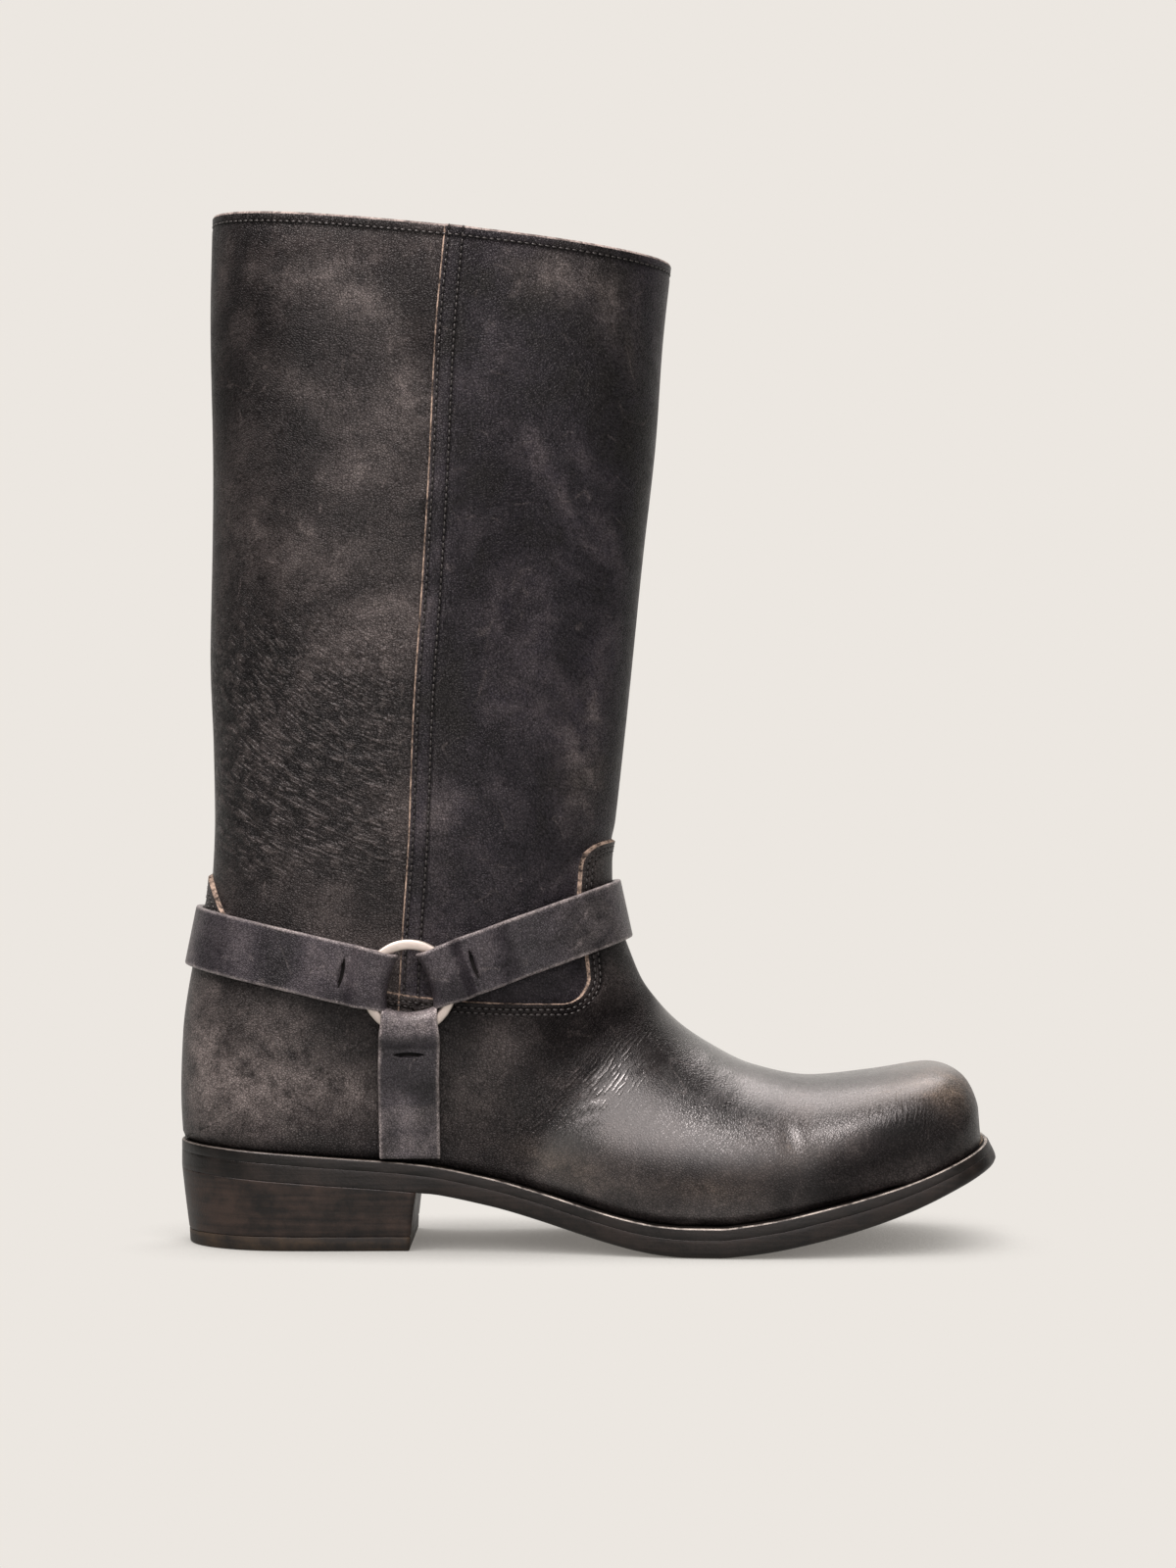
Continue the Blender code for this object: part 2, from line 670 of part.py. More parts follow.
def sweep(name, path):
    """Strap of one thickness along a path of (point, half-width vector)."""
    points = []
    faces = []
    count = len(path)
    for i, (place, across) in enumerate(path):
        tangent = unit(path[min(i + 1, count - 1)][0] - path[max(i - 1, 0)][0])
        out = unit(np.cross(tangent, across))
        for w, t in ((-1, -1), (1, -1), (1, 1), (-1, 1)):
            points.append(place + across * w + out * t * STRAP_THICKNESS / 2)
    for i in range(count - 1):
        for k in range(4):
            n = (k + 1) % 4
            faces.append((4 * i + k, 4 * i + n, 4 * i + 4 + n, 4 * i + 4 + k))
    faces.append((3, 2, 1, 0))
    faces.append(tuple(4 * (count - 1) + k for k in range(4)))
    return solid_mesh(name, points, faces)


def ring_end(run, side, width):
    """Path of a strap's folded end at the ring of one side, where the run starts."""
    seat, normal = ring_seat(side)
    heading = run.along(14) - run.along(2)
    heading = unit(heading - normal * (heading @ normal))
    flat = np.cross(heading, normal)
    path = []
    for k, (s, h) in enumerate(fold_path(width)):
        foot, out, across = run.frame(max(s, 16))
        if flat @ across < 0:
            flat = -flat
        m = smooth((s - 18.5) / 16)
        place = (seat + heading * s) * (1 - m) + foot * m
        rise = unit(normal * (1 - m) + out * m)
        half = width / 2
        if k > FOLD_POINTS:
            half += (STRAP_WIDTH - width) / 2 * smooth((s - 13) / 7)
        path.append((place + rise * h, unit(flat * (1 - m) + across * m) * half))
    return path


def strap_between_rings(name, rise, share_end):
    """Strap from ring to ring over the front (share_end 0) or round the back (share_end 1)."""
    lift = STRAP_WIDTH / 2 * math.sqrt(1 + rise * rise)
    ring_share = {}
    for side in (-1, 1):

        def wrong(c):
            r = section_on_line(side * c, lambda x: RING_Z, 8, 21)
            return skin(r, side * c)[0] - RING_X

        ring_share[side] = solve(wrong, 0.1, 0.9)
    lines = []
    for shift in (0, lift, -lift):
        line = []
        for side in (-1, 1):
            start = ring_share[side] + (0.1 if share_end == 0 else -0.1)
            shares = np.linspace(start, share_end, 40)
            half = []
            for c in shares:
                r = section_on_line(side * c, lambda x: RING_Z + shift + rise * (x - RING_X), 7.5, 22)
                half.append(skin(r, side * c))
            line.append(half)
        lines.append(np.array(line[0] + line[1][-2::-1]))
    run = Run(*lines)
    seat, _ = ring_seat(-1)
    run.start = float(run.length[np.argmin(np.linalg.norm(run.middle - seat, axis=1))])
    seat, _ = ring_seat(1)
    finish = float(run.length[np.argmin(np.linalg.norm(run.middle - seat, axis=1))])
    whole = finish - run.start
    head = ring_end(run, -1, STRAP_FOLD_WIDTH)
    path = list(head)
    for s in np.arange(50, whole - 49, 6.0):
        foot, out, across = run.frame(s)
        path.append((foot + out * STRAP_LOW, across * STRAP_WIDTH / 2))
    back = Run(*[line[::-1] for line in lines])
    back.start = float(back.length[-1] - finish)
    tail = ring_end(back, 1, STRAP_FOLD_WIDTH)
    path += tail[::-1]
    fixed = [path[0]]
    for place, across in path[1:]:
        fixed.append((place, across if across @ fixed[-1][1] > 0 else -across))
    return sweep(name, fixed), (head, tail)


def strap_down(name, side):
    """Strap from a ring down the side of the heel to the welt."""
    heights = np.linspace(RING_Z + 14, float(seat_top(RING_X)) + 3.0, 40)
    lines = []
    for shift in (0, STRAP_WIDTH / 2, -STRAP_WIDTH / 2):
        lines.append(np.array([side_point(side, RING_X + shift, z) for z in heights]))
    run = Run(*lines)
    seat, _ = ring_seat(side)
    run.start = float(np.interp(-RING_Z, -heights, run.length))
    path = ring_end(run, side, DOWN_FOLD_WIDTH)
    end = run.length[-1] - run.start
    for s in np.linspace(46, end, 7):
        foot, out, across = run.frame(s)
        path.append((foot + out * STRAP_LOW, across * STRAP_WIDTH / 2))
    fixed = [path[0]]
    for place, across in path[1:]:
        fixed.append((place, across if across @ fixed[-1][1] > 0 else -across))
    return sweep(name, fixed), path


def slit_cutter(name, path):
    """Lens-shaped cutter that stands in the strap's outer layer beside the ring."""
    reach = [s for s, _ in fold_path(STRAP_FOLD_WIDTH)]
    fold = reach.index(min(reach))
    i = fold + int(np.argmin([abs(s - SLIT_AT) for s in reach[fold:]]))
    place, across = path[i]
    tangent = unit(path[i + 1][0] - path[i - 1][0])
    out = unit(np.cross(tangent, across))
    if out @ (path[fold + 4][0] - path[0][0]) < 0:
        out = -out
    points = []
    for level in (-STRAP_THICKNESS / 2 - 0.12, STRAP_THICKNESS / 2 + 1.5):
        for k in range(12):
            a = 2 * math.pi * k / 12
            lens = math.copysign(abs(math.sin(a)) ** 1.3, math.sin(a))
            along = unit(across) * math.cos(a) * SLIT_LENGTH / 2 + tangent * lens * SLIT_WIDTH / 2
            points.append(place + along + out * level)
    faces = [tuple(range(12)), tuple(range(23, 11, -1))]
    faces += [(k, (k + 1) % 12, 12 + (k + 1) % 12, 12 + k) for k in range(12)]
    return solid_mesh(name, points, faces)


def ring_mesh(name, side):
    """Round wire ring that stands on the return layers of its straps."""
    seat, normal = ring_seat(side)
    bpy.ops.mesh.primitive_torus_add(
        major_segments=36, minor_segments=8, major_radius=RING_RADIUS * MM, minor_radius=RING_WIRE / 2 * MM
    )
    made = bpy.context.object
    mesh = made.data
    mesh.name = name
    bpy.data.objects.remove(made)
    turn = Vector(normal).to_track_quat("Z", "Y").to_matrix().to_4x4()
    mesh.transform(Matrix.Translation(Vector((seat + normal * RING_HEIGHT) * MM)) @ turn)
    return mesh


for old in list(bpy.data.objects):
    bpy.data.objects.remove(old)

parts = bpy.data.collections.new(OBJECT)
cutters = bpy.data.collections.new(OBJECT + "_cutters")
bpy.context.scene.collection.children.link(parts)
bpy.context.scene.collection.children.link(cutters)

sole_leather = make_material("sole_leather", (0.045, 0.034, 0.027), 0.0, 0.6)
heel_rubber = make_material("heel_rubber", (0.03, 0.026, 0.024), 0.0, 0.7)
welt_leather = make_material("welt_leather", (0.05, 0.04, 0.034), 0.0, 0.6)
insole_board = make_material("insole_board", (0.30, 0.21, 0.13), 0.0, 0.8)
upper_leather = make_material("upper_leather", (0.035, 0.033, 0.034), 0.0, 0.5)
strap_leather = make_material("strap_leather", (0.035, 0.034, 0.036), 0.0, 0.5)
nickel = make_material("nickel", (0.62, 0.60, 0.55), 1.0, 0.35)


def insole_low(x):
    return seat_top(x) + GAP


INSIDE = 5.8 + VAMP_STEP + WALL + 0.6

# Heel: a wearing lift flat on the floor and the stack that carries the outsole's seat.
add_object("heel_top_lift", plan_solid("heel_top_lift", (
    Level(HEEL_TAPER + 0.4, lambda x: 0.0, BREAST_BOTTOM),
    Level(HEEL_TAPER, lambda x: TOP_LIFT, BREAST_BOTTOM + 0.3),
)), parts, heel_rubber)
add_object("heel_stack", plan_solid("heel_stack", (
    Level(HEEL_TAPER, lambda x: TOP_LIFT + GAP, BREAST_BOTTOM + 0.3),
    Level(HEEL_TAPER * 0.45, lambda x: TOP_LIFT + 0.55 * (outsole_floor(x) - TOP_LIFT), BREAST_TOP - 1.2),
    Level(0.2, lambda x: outsole_floor(x) - GAP, BREAST_TOP),
)), parts, sole_leather)

# Sole: outsole with flat ball and toe spring, welt strip round its edge, insole inside the upper.
add_object("outsole", plan_solid("outsole", (
    Level(2.4, outsole_floor, None),
    Level(0.5, lambda x: outsole_floor(x) + 1.4, None),
    Level(0.0, lambda x: outsole_floor(x) + 2.6, None),
    Level(0.0, outsole_top, None),
)), parts, sole_leather)
add_object("welt", plan_ring("welt", WELT_WIDTH, welt_low, seat_top), parts, welt_leather)
add_object("insole", plan_solid("insole", (
    Level(WELT_WIDTH + GAP, lambda x: outsole_top(x) + GAP, None),
    Level(WELT_WIDTH + GAP, insole_low, None),
    Level(INSIDE, insole_low, None),
    Level(INSIDE, lambda x: insole_low(x) + INSOLE_THICKNESS, None),
)), parts, insole_board)

add_object("upper", upper_mesh("upper"), parts, upper_leather)

# Harness: a ring on each side, and the straps that fold round it.
front_mesh, front_ends = strap_between_rings("strap_front", FRONT_STRAP_RISE, 0)
back_mesh, back_ends = strap_between_rings("strap_back", BACK_STRAP_RISE, 1)
straps = [("strap_front", front_mesh, front_ends), ("strap_back", back_mesh, back_ends)]
for label, side in (("outer", -1), ("inner", 1)):
    down_mesh, down_path = strap_down("strap_down_" + label, side)
    straps.append(("strap_down_" + label, down_mesh, (down_path,)))
    add_object("ring_" + label, ring_mesh("ring_" + label, side), parts, nickel)
for name, mesh, ends in straps:
    strap = add_object(name, mesh, parts, strap_leather)
    for k, end in enumerate(ends):
        cutter = add_object(f"{name}_slit_{k}", slit_cutter(f"{name}_slit_{k}", end), cutters)
        cutter.hide_render = True
        cutter.display_type = "WIRE"
        cut = strap.modifiers.new("slit", "BOOLEAN")
        cut.operation = "DIFFERENCE"
        cut.solver = "EXACT"
        cut.object = cutter
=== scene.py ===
"""Right-foot harness boot in worn charcoal leather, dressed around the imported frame.

Frame: +X points to the toe, +Y to the inner side of the foot, +Z up, floor at z = 0. Sizes are in
millimetres and MM turns them into metres. Side-view places are millimetres in the X-Z plane.
"""
import math
from collections import namedtuple

import bmesh
import bpy
import numpy as np
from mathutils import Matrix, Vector


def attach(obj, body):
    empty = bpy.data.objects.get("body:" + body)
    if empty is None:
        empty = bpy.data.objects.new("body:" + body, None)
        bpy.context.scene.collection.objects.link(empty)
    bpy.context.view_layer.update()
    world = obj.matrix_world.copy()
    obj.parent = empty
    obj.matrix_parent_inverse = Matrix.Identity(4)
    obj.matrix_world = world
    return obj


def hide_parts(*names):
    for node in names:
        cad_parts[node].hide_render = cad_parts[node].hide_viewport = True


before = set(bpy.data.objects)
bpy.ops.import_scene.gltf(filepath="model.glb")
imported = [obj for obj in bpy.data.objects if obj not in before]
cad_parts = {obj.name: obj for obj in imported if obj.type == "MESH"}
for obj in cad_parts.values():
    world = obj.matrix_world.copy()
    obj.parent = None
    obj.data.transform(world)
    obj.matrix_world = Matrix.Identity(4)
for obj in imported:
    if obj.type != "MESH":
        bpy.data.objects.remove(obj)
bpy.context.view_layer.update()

# Outsole.
# Stiff leather sole cut to the last's plan, blocked up at the waist and the toe, its edge trimmed square,
# stained near black and burnished. It lies under the welt and is stitched to it.
MM = 0.001
# Ends of the plan, where its rounded heel and square toe start, and the powers that shape them.
HEEL_BACK, TOE_TIP = -155.0, 155.3
HEEL_START, TOE_START = -112.0, 122.0
HEEL_ROUND, TOE_SQUARE = 2.2, 3.2
# Front of the heel at its top and bottom, and the length over which a corner rounds off ahead of it.
BREAST_TOP, BREAST_BOTTOM, BREAST_FADE = -64.0, -66.5, 8.0
# The welt's share of the edge's height, the glue joint, and where the toe spring tips the edge back.
WELT_SHARE, JOINT = 0.38, 0.08
SPRING_START, SPRING_RUN = 60.0, 30.0
# Depth of the hand-trimmed edge's waves, and the shift that makes the two sides differ.
SOLE_WAVE, INNER_SHIFT = 0.1, 40.0
END_POINTS, SIDE_POINTS, HEEL_SIDE_POINTS, BREAST_POINTS = 27, 84, 22, 14
MERGE_DISTANCE = 2e-6
# Half-widths of the plan on the foot's outer and inner side.
Plan = namedtuple("Plan", "x outer inner")
PLAN = (
    Plan(-160, 31.0, 31.0), Plan(-125, 34.0, 33.5), Plan(-100, 34.8, 33.8), Plan(-70, 34.2, 31.8),
    Plan(-40, 35.0, 29.0), Plan(-10, 39.2, 31.0), Plan(20, 46.4, 38.6), Plan(45, 50.4, 46.8),
    Plan(65, 51.2, 51.2), Plan(85, 49.9, 52.0), Plan(105, 46.8, 49.6), Plan(125, 43.0, 46.0),
    Plan(160, 38.0, 41.0),
)
# Height of the welt's top, of the whole edge below it, and how far the welt stands out past the upper.
Seat = namedtuple("Seat", "x top edge margin")
SEAT = (
    Seat(-156, 39.3, 10.6, 0.6), Seat(-120, 37.0, 10.6, 0.6), Seat(-98, 35.4, 10.6, 0.9),
    Seat(-62, 32.5, 10.6, 1.8), Seat(-36, 27.5, 10.6, 3.0), Seat(-18, 22.7, 10.7, 3.6),
    Seat(-4, 18.5, 10.8, 3.9), Seat(8, 15.1, 10.8, 4.1), Seat(18, 12.9, 10.9, 4.3),
    Seat(26, 11.7, 11.0, 4.4), Seat(36, 11.1, 11.1, 4.5), Seat(48, 11.1, 11.1, 4.5),
    Seat(58, 12.2, 11.3, 4.5), Seat(72, 14.6, 11.6, 4.5), Seat(88, 18.2, 11.7, 4.5),
    Seat(101, 21.3, 11.4, 4.6), Seat(120, 26.9, 10.6, 5.2), Seat(138, 34.2, 9.7, 5.8),
    Seat(157, 42.8, 9.2, 5.8),
)


def curve(knots, values):
    """Smooth curve through the knots that never swings past them."""
    x = np.asarray(knots, float)
    y = np.asarray(values, float)
    step = np.diff(x)
    rise = np.diff(y) / step
    slope = np.zeros_like(y)
    slope[0], slope[-1] = rise[0], rise[-1]
    for i in range(1, len(x) - 1):
        if rise[i - 1] * rise[i] > 0:
            near = 2 * step[i] + step[i - 1]
            far = step[i] + 2 * step[i - 1]
            slope[i] = (near + far) / (near / rise[i - 1] + far / rise[i])

    def at(v):
        v = np.clip(v, x[0], x[-1])
        i = np.clip(np.searchsorted(x, v, side="right") - 1, 0, len(x) - 2)
        t = (v - x[i]) / step[i]
        start = (1 + 2 * t) * (1 - t) ** 2 * y[i] + t * t * (3 - 2 * t) * y[i + 1]
        return start + step[i] * t * (1 - t) * ((1 - t) * slope[i] - t * slope[i + 1])

    return at


def table_curve(rows, knot, value):
    """Smooth curve of one column of a table over another."""
    return curve([getattr(row, knot) for row in rows], [getattr(row, value) for row in rows])


def ease(t):
    """Soft step from 0 to 1."""
    t = np.clip(t, 0.0, 1.0)
    return t * t * (3 - 2 * t)


plan_half = {-1: table_curve(PLAN, "x", "outer"), 1: table_curve(PLAN, "x", "inner")}
seat_top = table_curve(SEAT, "x", "top")
sole_edge = table_curve(SEAT, "x", "edge")
welt_margin = table_curve(SEAT, "x", "margin")


def half_width(side, x, inset):
    """Half-width of the sole's plan at x, drawn in by inset all round."""
    toe = np.clip((x - TOE_START) / (TOE_TIP - inset - TOE_START), 0, 1)
    heel = np.clip((HEEL_START - x) / (HEEL_START - HEEL_BACK - inset), 0, 1)
    toe_end = (1 - toe**TOE_SQUARE) ** (1 / TOE_SQUARE)
    heel_end = (1 - heel**HEEL_ROUND) ** (1 / HEEL_ROUND)
    return (plan_half[side](x) - inset) * toe_end * heel_end


def outsole_floor(x):
    """Underside of the outsole, flat on the floor under the ball."""
    return np.maximum(seat_top(x) - sole_edge(x), 0.0)


def outsole_top(x):
    """Top of the outsole, under the welt."""
    return seat_top(x) - WELT_SHARE * sole_edge(x) - JOINT


def leaned(x, z):
    """The sole's edge stands square to its face, so over the toe spring its top lies further back."""
    slope = (seat_top(x + 2) - seat_top(x - 2)) / 4
    return x - slope * ease((x - SPRING_START) / SPRING_RUN) * (z - outsole_floor(x))


def hand_trim(x, depth):
    """Slight waviness left by trimming an edge by hand."""
    return depth * (np.sin(x * 0.31) + 0.7 * np.sin(x * 0.83 + 1.1) + 0.5 * np.sin(x * 1.9 + 0.4)) / 2.2


def plan_loop(inset, height, front=None, wave=0.0, ahead=0.0):
    """Loop of points round the sole's plan, outer side first; front cuts the plan off at the heel breast.

    ahead is a further inset that starts at the breast, for a corner rounded only in front of the heel.
    """
    turn = np.linspace(0.0, math.pi / 2, END_POINTS)
    heel = HEEL_START - (HEEL_START - HEEL_BACK - inset) * np.sin(turn[::-1]) ** (2 / HEEL_ROUND)
    if front is None:
        body = np.linspace(HEEL_START, TOE_START, SIDE_POINTS)[1:-1]
        toe = TOE_START + (TOE_TIP - inset - ahead - TOE_START) * np.sin(turn) ** (2 / TOE_SQUARE)
        x = np.concatenate([heel, body, toe])
    else:
        x = np.concatenate([heel, np.linspace(HEEL_START, front, HEEL_SIDE_POINTS)[1:]])
    drawn_in = inset + ahead * ease((x - BREAST_TOP) / BREAST_FADE)
    outer = np.stack([x, -half_width(-1, x, drawn_in + hand_trim(x, wave))], axis=1)
    inner = np.stack([x, half_width(1, x, drawn_in + hand_trim(x + INNER_SHIFT, wave))], axis=1)
    if front is None:
        flat = np.concatenate([outer, inner[-2:0:-1]])
    else:
        across = np.linspace(outer[-1], inner[-1], BREAST_POINTS)[1:-1]
        flat = np.concatenate([outer, across, inner[:0:-1]])
    back = leaned(flat[:, 0], height(flat[:, 0]))
    return np.stack([back, flat[:, 1], height(back)], axis=1)


def make_piece(name, points, faces, slots, merge=True):
    """New object at the origin from points in millimetres, its doubles merged and its faces turned out."""
    mesh = bpy.data.meshes.new(name)
    mesh.from_pydata((np.asarray(points, float) * MM).tolist(), [], faces)
    mesh.polygons.foreach_set("material_index", slots)
    shell = bmesh.new()
    shell.from_mesh(mesh)
    if merge:
        bmesh.ops.remove_doubles(shell, verts=shell.verts, dist=MERGE_DISTANCE)
    bmesh.ops.recalc_face_normals(shell, faces=shell.faces)
    shell.to_mesh(mesh)
    shell.free()
    mesh.shade_smooth()
    piece = bpy.data.objects.new(name, mesh)
    bpy.context.scene.collection.objects.link(piece)
    return piece


def loft(name, loops, ring=False, strip=True, second=()):
    """Solid through loops of equal length; a ring closes on itself, other solids are closed at each end.

    A strip of quads closes an end, or else one face does. Bands that start at the loops numbered in
    second take the piece's second material.
    """
    count = len(loops[0])
    points = np.concatenate(loops)
    faces = []
    pairs = list(zip(range(len(loops)), range(1, len(loops))))
    if ring:
        pairs.append((len(loops) - 1, 0))
    for a, b in pairs:
        for k in range(count):
            n = (k + 1) % count
            faces.append((a * count + k, a * count + n, b * count + n, b * count + k))
    slots = [int(a in second) for a, _ in pairs for _ in range(count)]
    if not ring:
        for base in (0, (len(loops) - 1) * count):
            if strip:
                for k in range(count // 2):
                    far = count - k
                    quad = [base + k, base + k + 1, base + (far - 1) % count, base + far % count]
                    faces.append(tuple(dict.fromkeys(quad)))
            else:
                faces.append(tuple(range(base, base + count)))
    slots += [0] * (len(faces) - len(slots))
    return make_piece(name, points, faces, slots)


def hex_linear(code):
    """Linear colour of an sRGB hex value."""
    parts = [int(code[i:i + 2], 16) / 255 for i in (1, 3, 5)]
    return tuple(v / 12.92 if v <= 0.04045 else ((v + 0.055) / 1.055) ** 2.4 for v in parts) + (1.0,)


def node(tree, kind, inputs=None, out=0, **settings):
    """Adds a node with its settings, gives its inputs a value or a link, and returns one of its outputs.

    Sockets of Math, Mix and Map Range go by number; Map Range has value, low, high, new low, new high.
    """
    made = tree.nodes.new(kind if "Node" in kind else "ShaderNode" + kind)
    for key, value in settings.items():
        setattr(made, key, value)
    for key, value in (inputs or {}).items():
        if isinstance(value, bpy.types.NodeSocket):
            tree.links.new(value, made.inputs[key])
        else:
            made.inputs[key].default_value = value
    return made.outputs[out] if len(made.outputs) else None


def new_material(name, **sockets):
    """Material with a Principled shader whose constant sockets are set; returns it, its tree and shader."""
    material = bpy.data.materials.new(name)
    material.use_nodes = True
    shader = material.node_tree.nodes["Principled BSDF"]
    for key, value in sockets.items():
        shader.inputs[key.replace("_", " ")].default_value = value
    return material, material.node_tree, shader


def stained_edge(name, dark, worn, layer_mm, rough):
    """Burnished leather edge: stained fibre in fine layers along the edge, rubbed paler in streaks.

    Its grit is drawn about 1 mm wide, coarser than real fibre, so that it shows.
    """
    material, tree, shader = new_material(name, Specular_IOR_Level=0.28)
    place = node(tree, "TexCoord", out="Object")
    streak = 1000 / 35.7
    along = node(tree, "Mapping", {"Vector": place, "Scale": (streak, streak, 1000 / layer_mm)})
    layers = node(tree, "TexNoise", {"Vector": along, "Scale": 1.0, "Detail": 5.0})
    coarse = node(tree, "TexNoise", {"Vector": place, "Scale": 1000 / 16, "Detail": 6.0, "Roughness": 0.68})
    faint = node(tree, "MapRange", {0: layers, 1: 0.3, 2: 0.7, 3: 0.42, 4: 0.58})
    mixed = node(tree, "Math", {0: faint, 1: coarse}, operation="MULTIPLY")
    tone = node(tree, "MapRange", {0: mixed, 1: 0.2, 2: 0.33})
    colour = node(tree, "Mix", {0: tone, 6: hex_linear(dark), 7: hex_linear(worn)}, out=2, data_type="RGBA")
    tree.links.new(colour, shader.inputs["Base Color"])
    gloss = node(tree, "MapRange", {0: coarse, 1: 0.3, 2: 0.7, 3: rough - 0.1, 4: rough + 0.12})
    tree.links.new(gloss, shader.inputs["Roughness"])
    grit = node(tree, "TexNoise", {"Vector": place, "Scale": 1000 / 1.11, "Detail": 3.0})
    relief = node(tree, "Math", {0: layers, 1: grit}, operation="ADD")
    bump = node(tree, "Bump", {"Height": relief, "Strength": 0.25, "Distance": 0.4 * MM})
    tree.links.new(bump, shader.inputs["Normal"])
    return material


# Stained sole leather: near black with warm brown showing through, a low waxy shine from the hot iron.
sole_edge_leather = stained_edge("stained_sole_leather", "#080605", "#1c1613", 1.1, 0.46)
outsole = loft("outsole_dressed", [
    plan_loop(0.1, outsole_floor, ahead=2.5),
    plan_loop(0.02, lambda x: outsole_floor(x) + 0.5, wave=SOLE_WAVE, ahead=1.0),
    plan_loop(0.0, lambda x: outsole_floor(x) + 1.3, wave=SOLE_WAVE, ahead=0.35),
    plan_loop(0.0, lambda x: outsole_floor(x) + 2.4, wave=SOLE_WAVE, ahead=0.08),
    plan_loop(0.0, lambda x: outsole_top(x) - 1.4, wave=SOLE_WAVE),
    plan_loop(0.02, lambda x: outsole_top(x) - 0.15, wave=SOLE_WAVE),
    plan_loop(0.08, outsole_top, wave=SOLE_WAVE),
])
outsole.data.materials.append(sole_edge_leather)
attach(outsole, "root")
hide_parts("outsole")

# Welt.
# Leather strip laid round the upper on top of the outsole, stitched through both. Its top corner is painted
# pale, partly leather worn bare and partly a painted highlight, which shows as a light line all along the
# boot.
WELT_WIDTH, WELT_WAVE = 13.0, 0.12


def welt_low(x):
    """Underside of the welt."""
    return seat_top(x) - WELT_SHARE * sole_edge(x)


# Stained welt leather: as the sole's edge, a little blacker.
welt_edge_leather = stained_edge("stained_welt_leather", "#060504", "#15110f", 1.3, 0.44)
# Welt corner: pale in broken stretches from the waist forward, partly rubbed bare leather, partly painted
# highlight.
corner_wear_and_highlight, tree, shader = new_material("welt_top_rubbed_and_highlit", Roughness=0.5)
place = node(tree, "TexCoord", out="Object")
rub = node(tree, "TexNoise", {"Vector": place, "Scale": 1000 / 7.69, "Detail": 4.0, "Roughness": 0.7})
tone = node(tree, "MapRange", {0: rub, 1: 0.38, 2: 0.62})
ahead = node(tree, "SeparateXYZ", {0: place}, out="X")
ahead = node(tree, "MapRange", {0: ahead, 1: -90 * MM, 2: -10 * MM, 3: 0.2, 4: 1.0})
tone = node(tree, "Math", {0: tone, 1: ahead}, operation="MULTIPLY")
colour = node(tree, "Mix", {0: tone, 6: hex_linear("#2c2622"), 7: hex_linear("#a59e96")},
              out=2, data_type="RGBA")
tree.links.new(colour, shader.inputs["Base Color"])
welt = loft("welt_dressed", [
    plan_loop(0.1, welt_low),
    plan_loop(0.02, lambda x: welt_low(x) + 0.15, wave=WELT_WAVE),
    plan_loop(0.0, lambda x: welt_low(x) + 1.3, wave=WELT_WAVE),
    plan_loop(0.0, lambda x: seat_top(x) - 0.7, wave=WELT_WAVE),
    plan_loop(0.08, lambda x: seat_top(x) - 0.4, wave=WELT_WAVE),
    plan_loop(0.45, lambda x: seat_top(x) - 0.05, wave=WELT_WAVE),
    plan_loop(0.9, seat_top),
    plan_loop(WELT_WIDTH, seat_top),
    plan_loop(WELT_WIDTH, welt_low),
], ring=True, second=(4, 5))
welt.data.materials.append(welt_edge_leather)
welt.data.materials.append(corner_wear_and_highlight)
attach(welt, "root")
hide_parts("welt")

# Heel stack.
# Lifts of sole leather glued and pegged under the outsole's seat, ground to one face and stained like the
# sole's edge; the joints between lifts barely show.
TOP_LIFT = 5.4
HEEL_TAPER = 2.8
LIFT_SHARES = (0.26, 0.51, 0.76)
LIFT_GROOVE, GROOVE_SHARE = 0.03, 0.022
# Rows of the stack from the bottom up: share of its height and how far the row is cut in.
stack_rows = [(0.0, 0.1), (0.02, 0.0)]
for share in LIFT_SHARES:
    stack_rows += [(share - GROOVE_SHARE, 0.0), (share, LIFT_GROOVE), (share + GROOVE_SHARE, 0.0)]
stack_rows += [(0.975, 0.0), (1.0, 0.05)]
stack_inset = curve((0.0, 0.55, 1.0), (HEEL_TAPER, HEEL_TAPER * 0.45, 0.05))
stack_front = curve((0.0, 0.55, 1.0), (BREAST_BOTTOM + 0.3, BREAST_TOP - 1.2, BREAST_TOP))
stack_loops = []
for share, groove in stack_rows:
    def stack_height(x, share=share):
        return TOP_LIFT + JOINT + share * (outsole_floor(x) - TOP_LIFT - 2 * JOINT)

    inset = float(stack_inset(share)) + groove
    stack_loops.append(plan_loop(inset, stack_height, float(stack_front(share)) - groove, wave=SOLE_WAVE))
heel_stack = loft("heel_stack_dressed", stack_loops, strip=False)
# Stained heel leather: the sole's leather ground across its layers, browner and drier.
heel_leather = stained_edge("stained_heel_leather", "#0e0b0a", "#2d231e", 1.6, 0.5)
heel_stack.data.materials.append(heel_leather)
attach(heel_stack, "root")
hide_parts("heel_stack")

# Heel top lift.
# Wearing lift of hard black rubber nailed under the stack, a hair inside it all round; its joint is the one
# line that shows on the heel.
top_lift = loft("heel_top_lift_dressed", [
    plan_loop(HEEL_TAPER + 0.9, lambda x: 0.0 * x, BREAST_BOTTOM - 0.5),
    plan_loop(HEEL_TAPER + 0.35, lambda x: 0.0 * x + 0.5, BREAST_BOTTOM),
    plan_loop(HEEL_TAPER + 0.1, lambda x: 0.0 * x + TOP_LIFT - 0.5, BREAST_BOTTOM + 0.2, wave=0.08),
    plan_loop(HEEL_TAPER + 0.3, lambda x: 0.0 * x + TOP_LIFT, BREAST_BOTTOM - 0.1),
], strip=False)
# Hard rubber: dull black, dusty brown where it scuffs.
lift_rubber = stained_edge("hard_black_rubber", "#161311", "#33291f", 2.4, 0.6)
top_lift.data.materials.append(lift_rubber)
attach(top_lift, "root")
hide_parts("heel_top_lift")

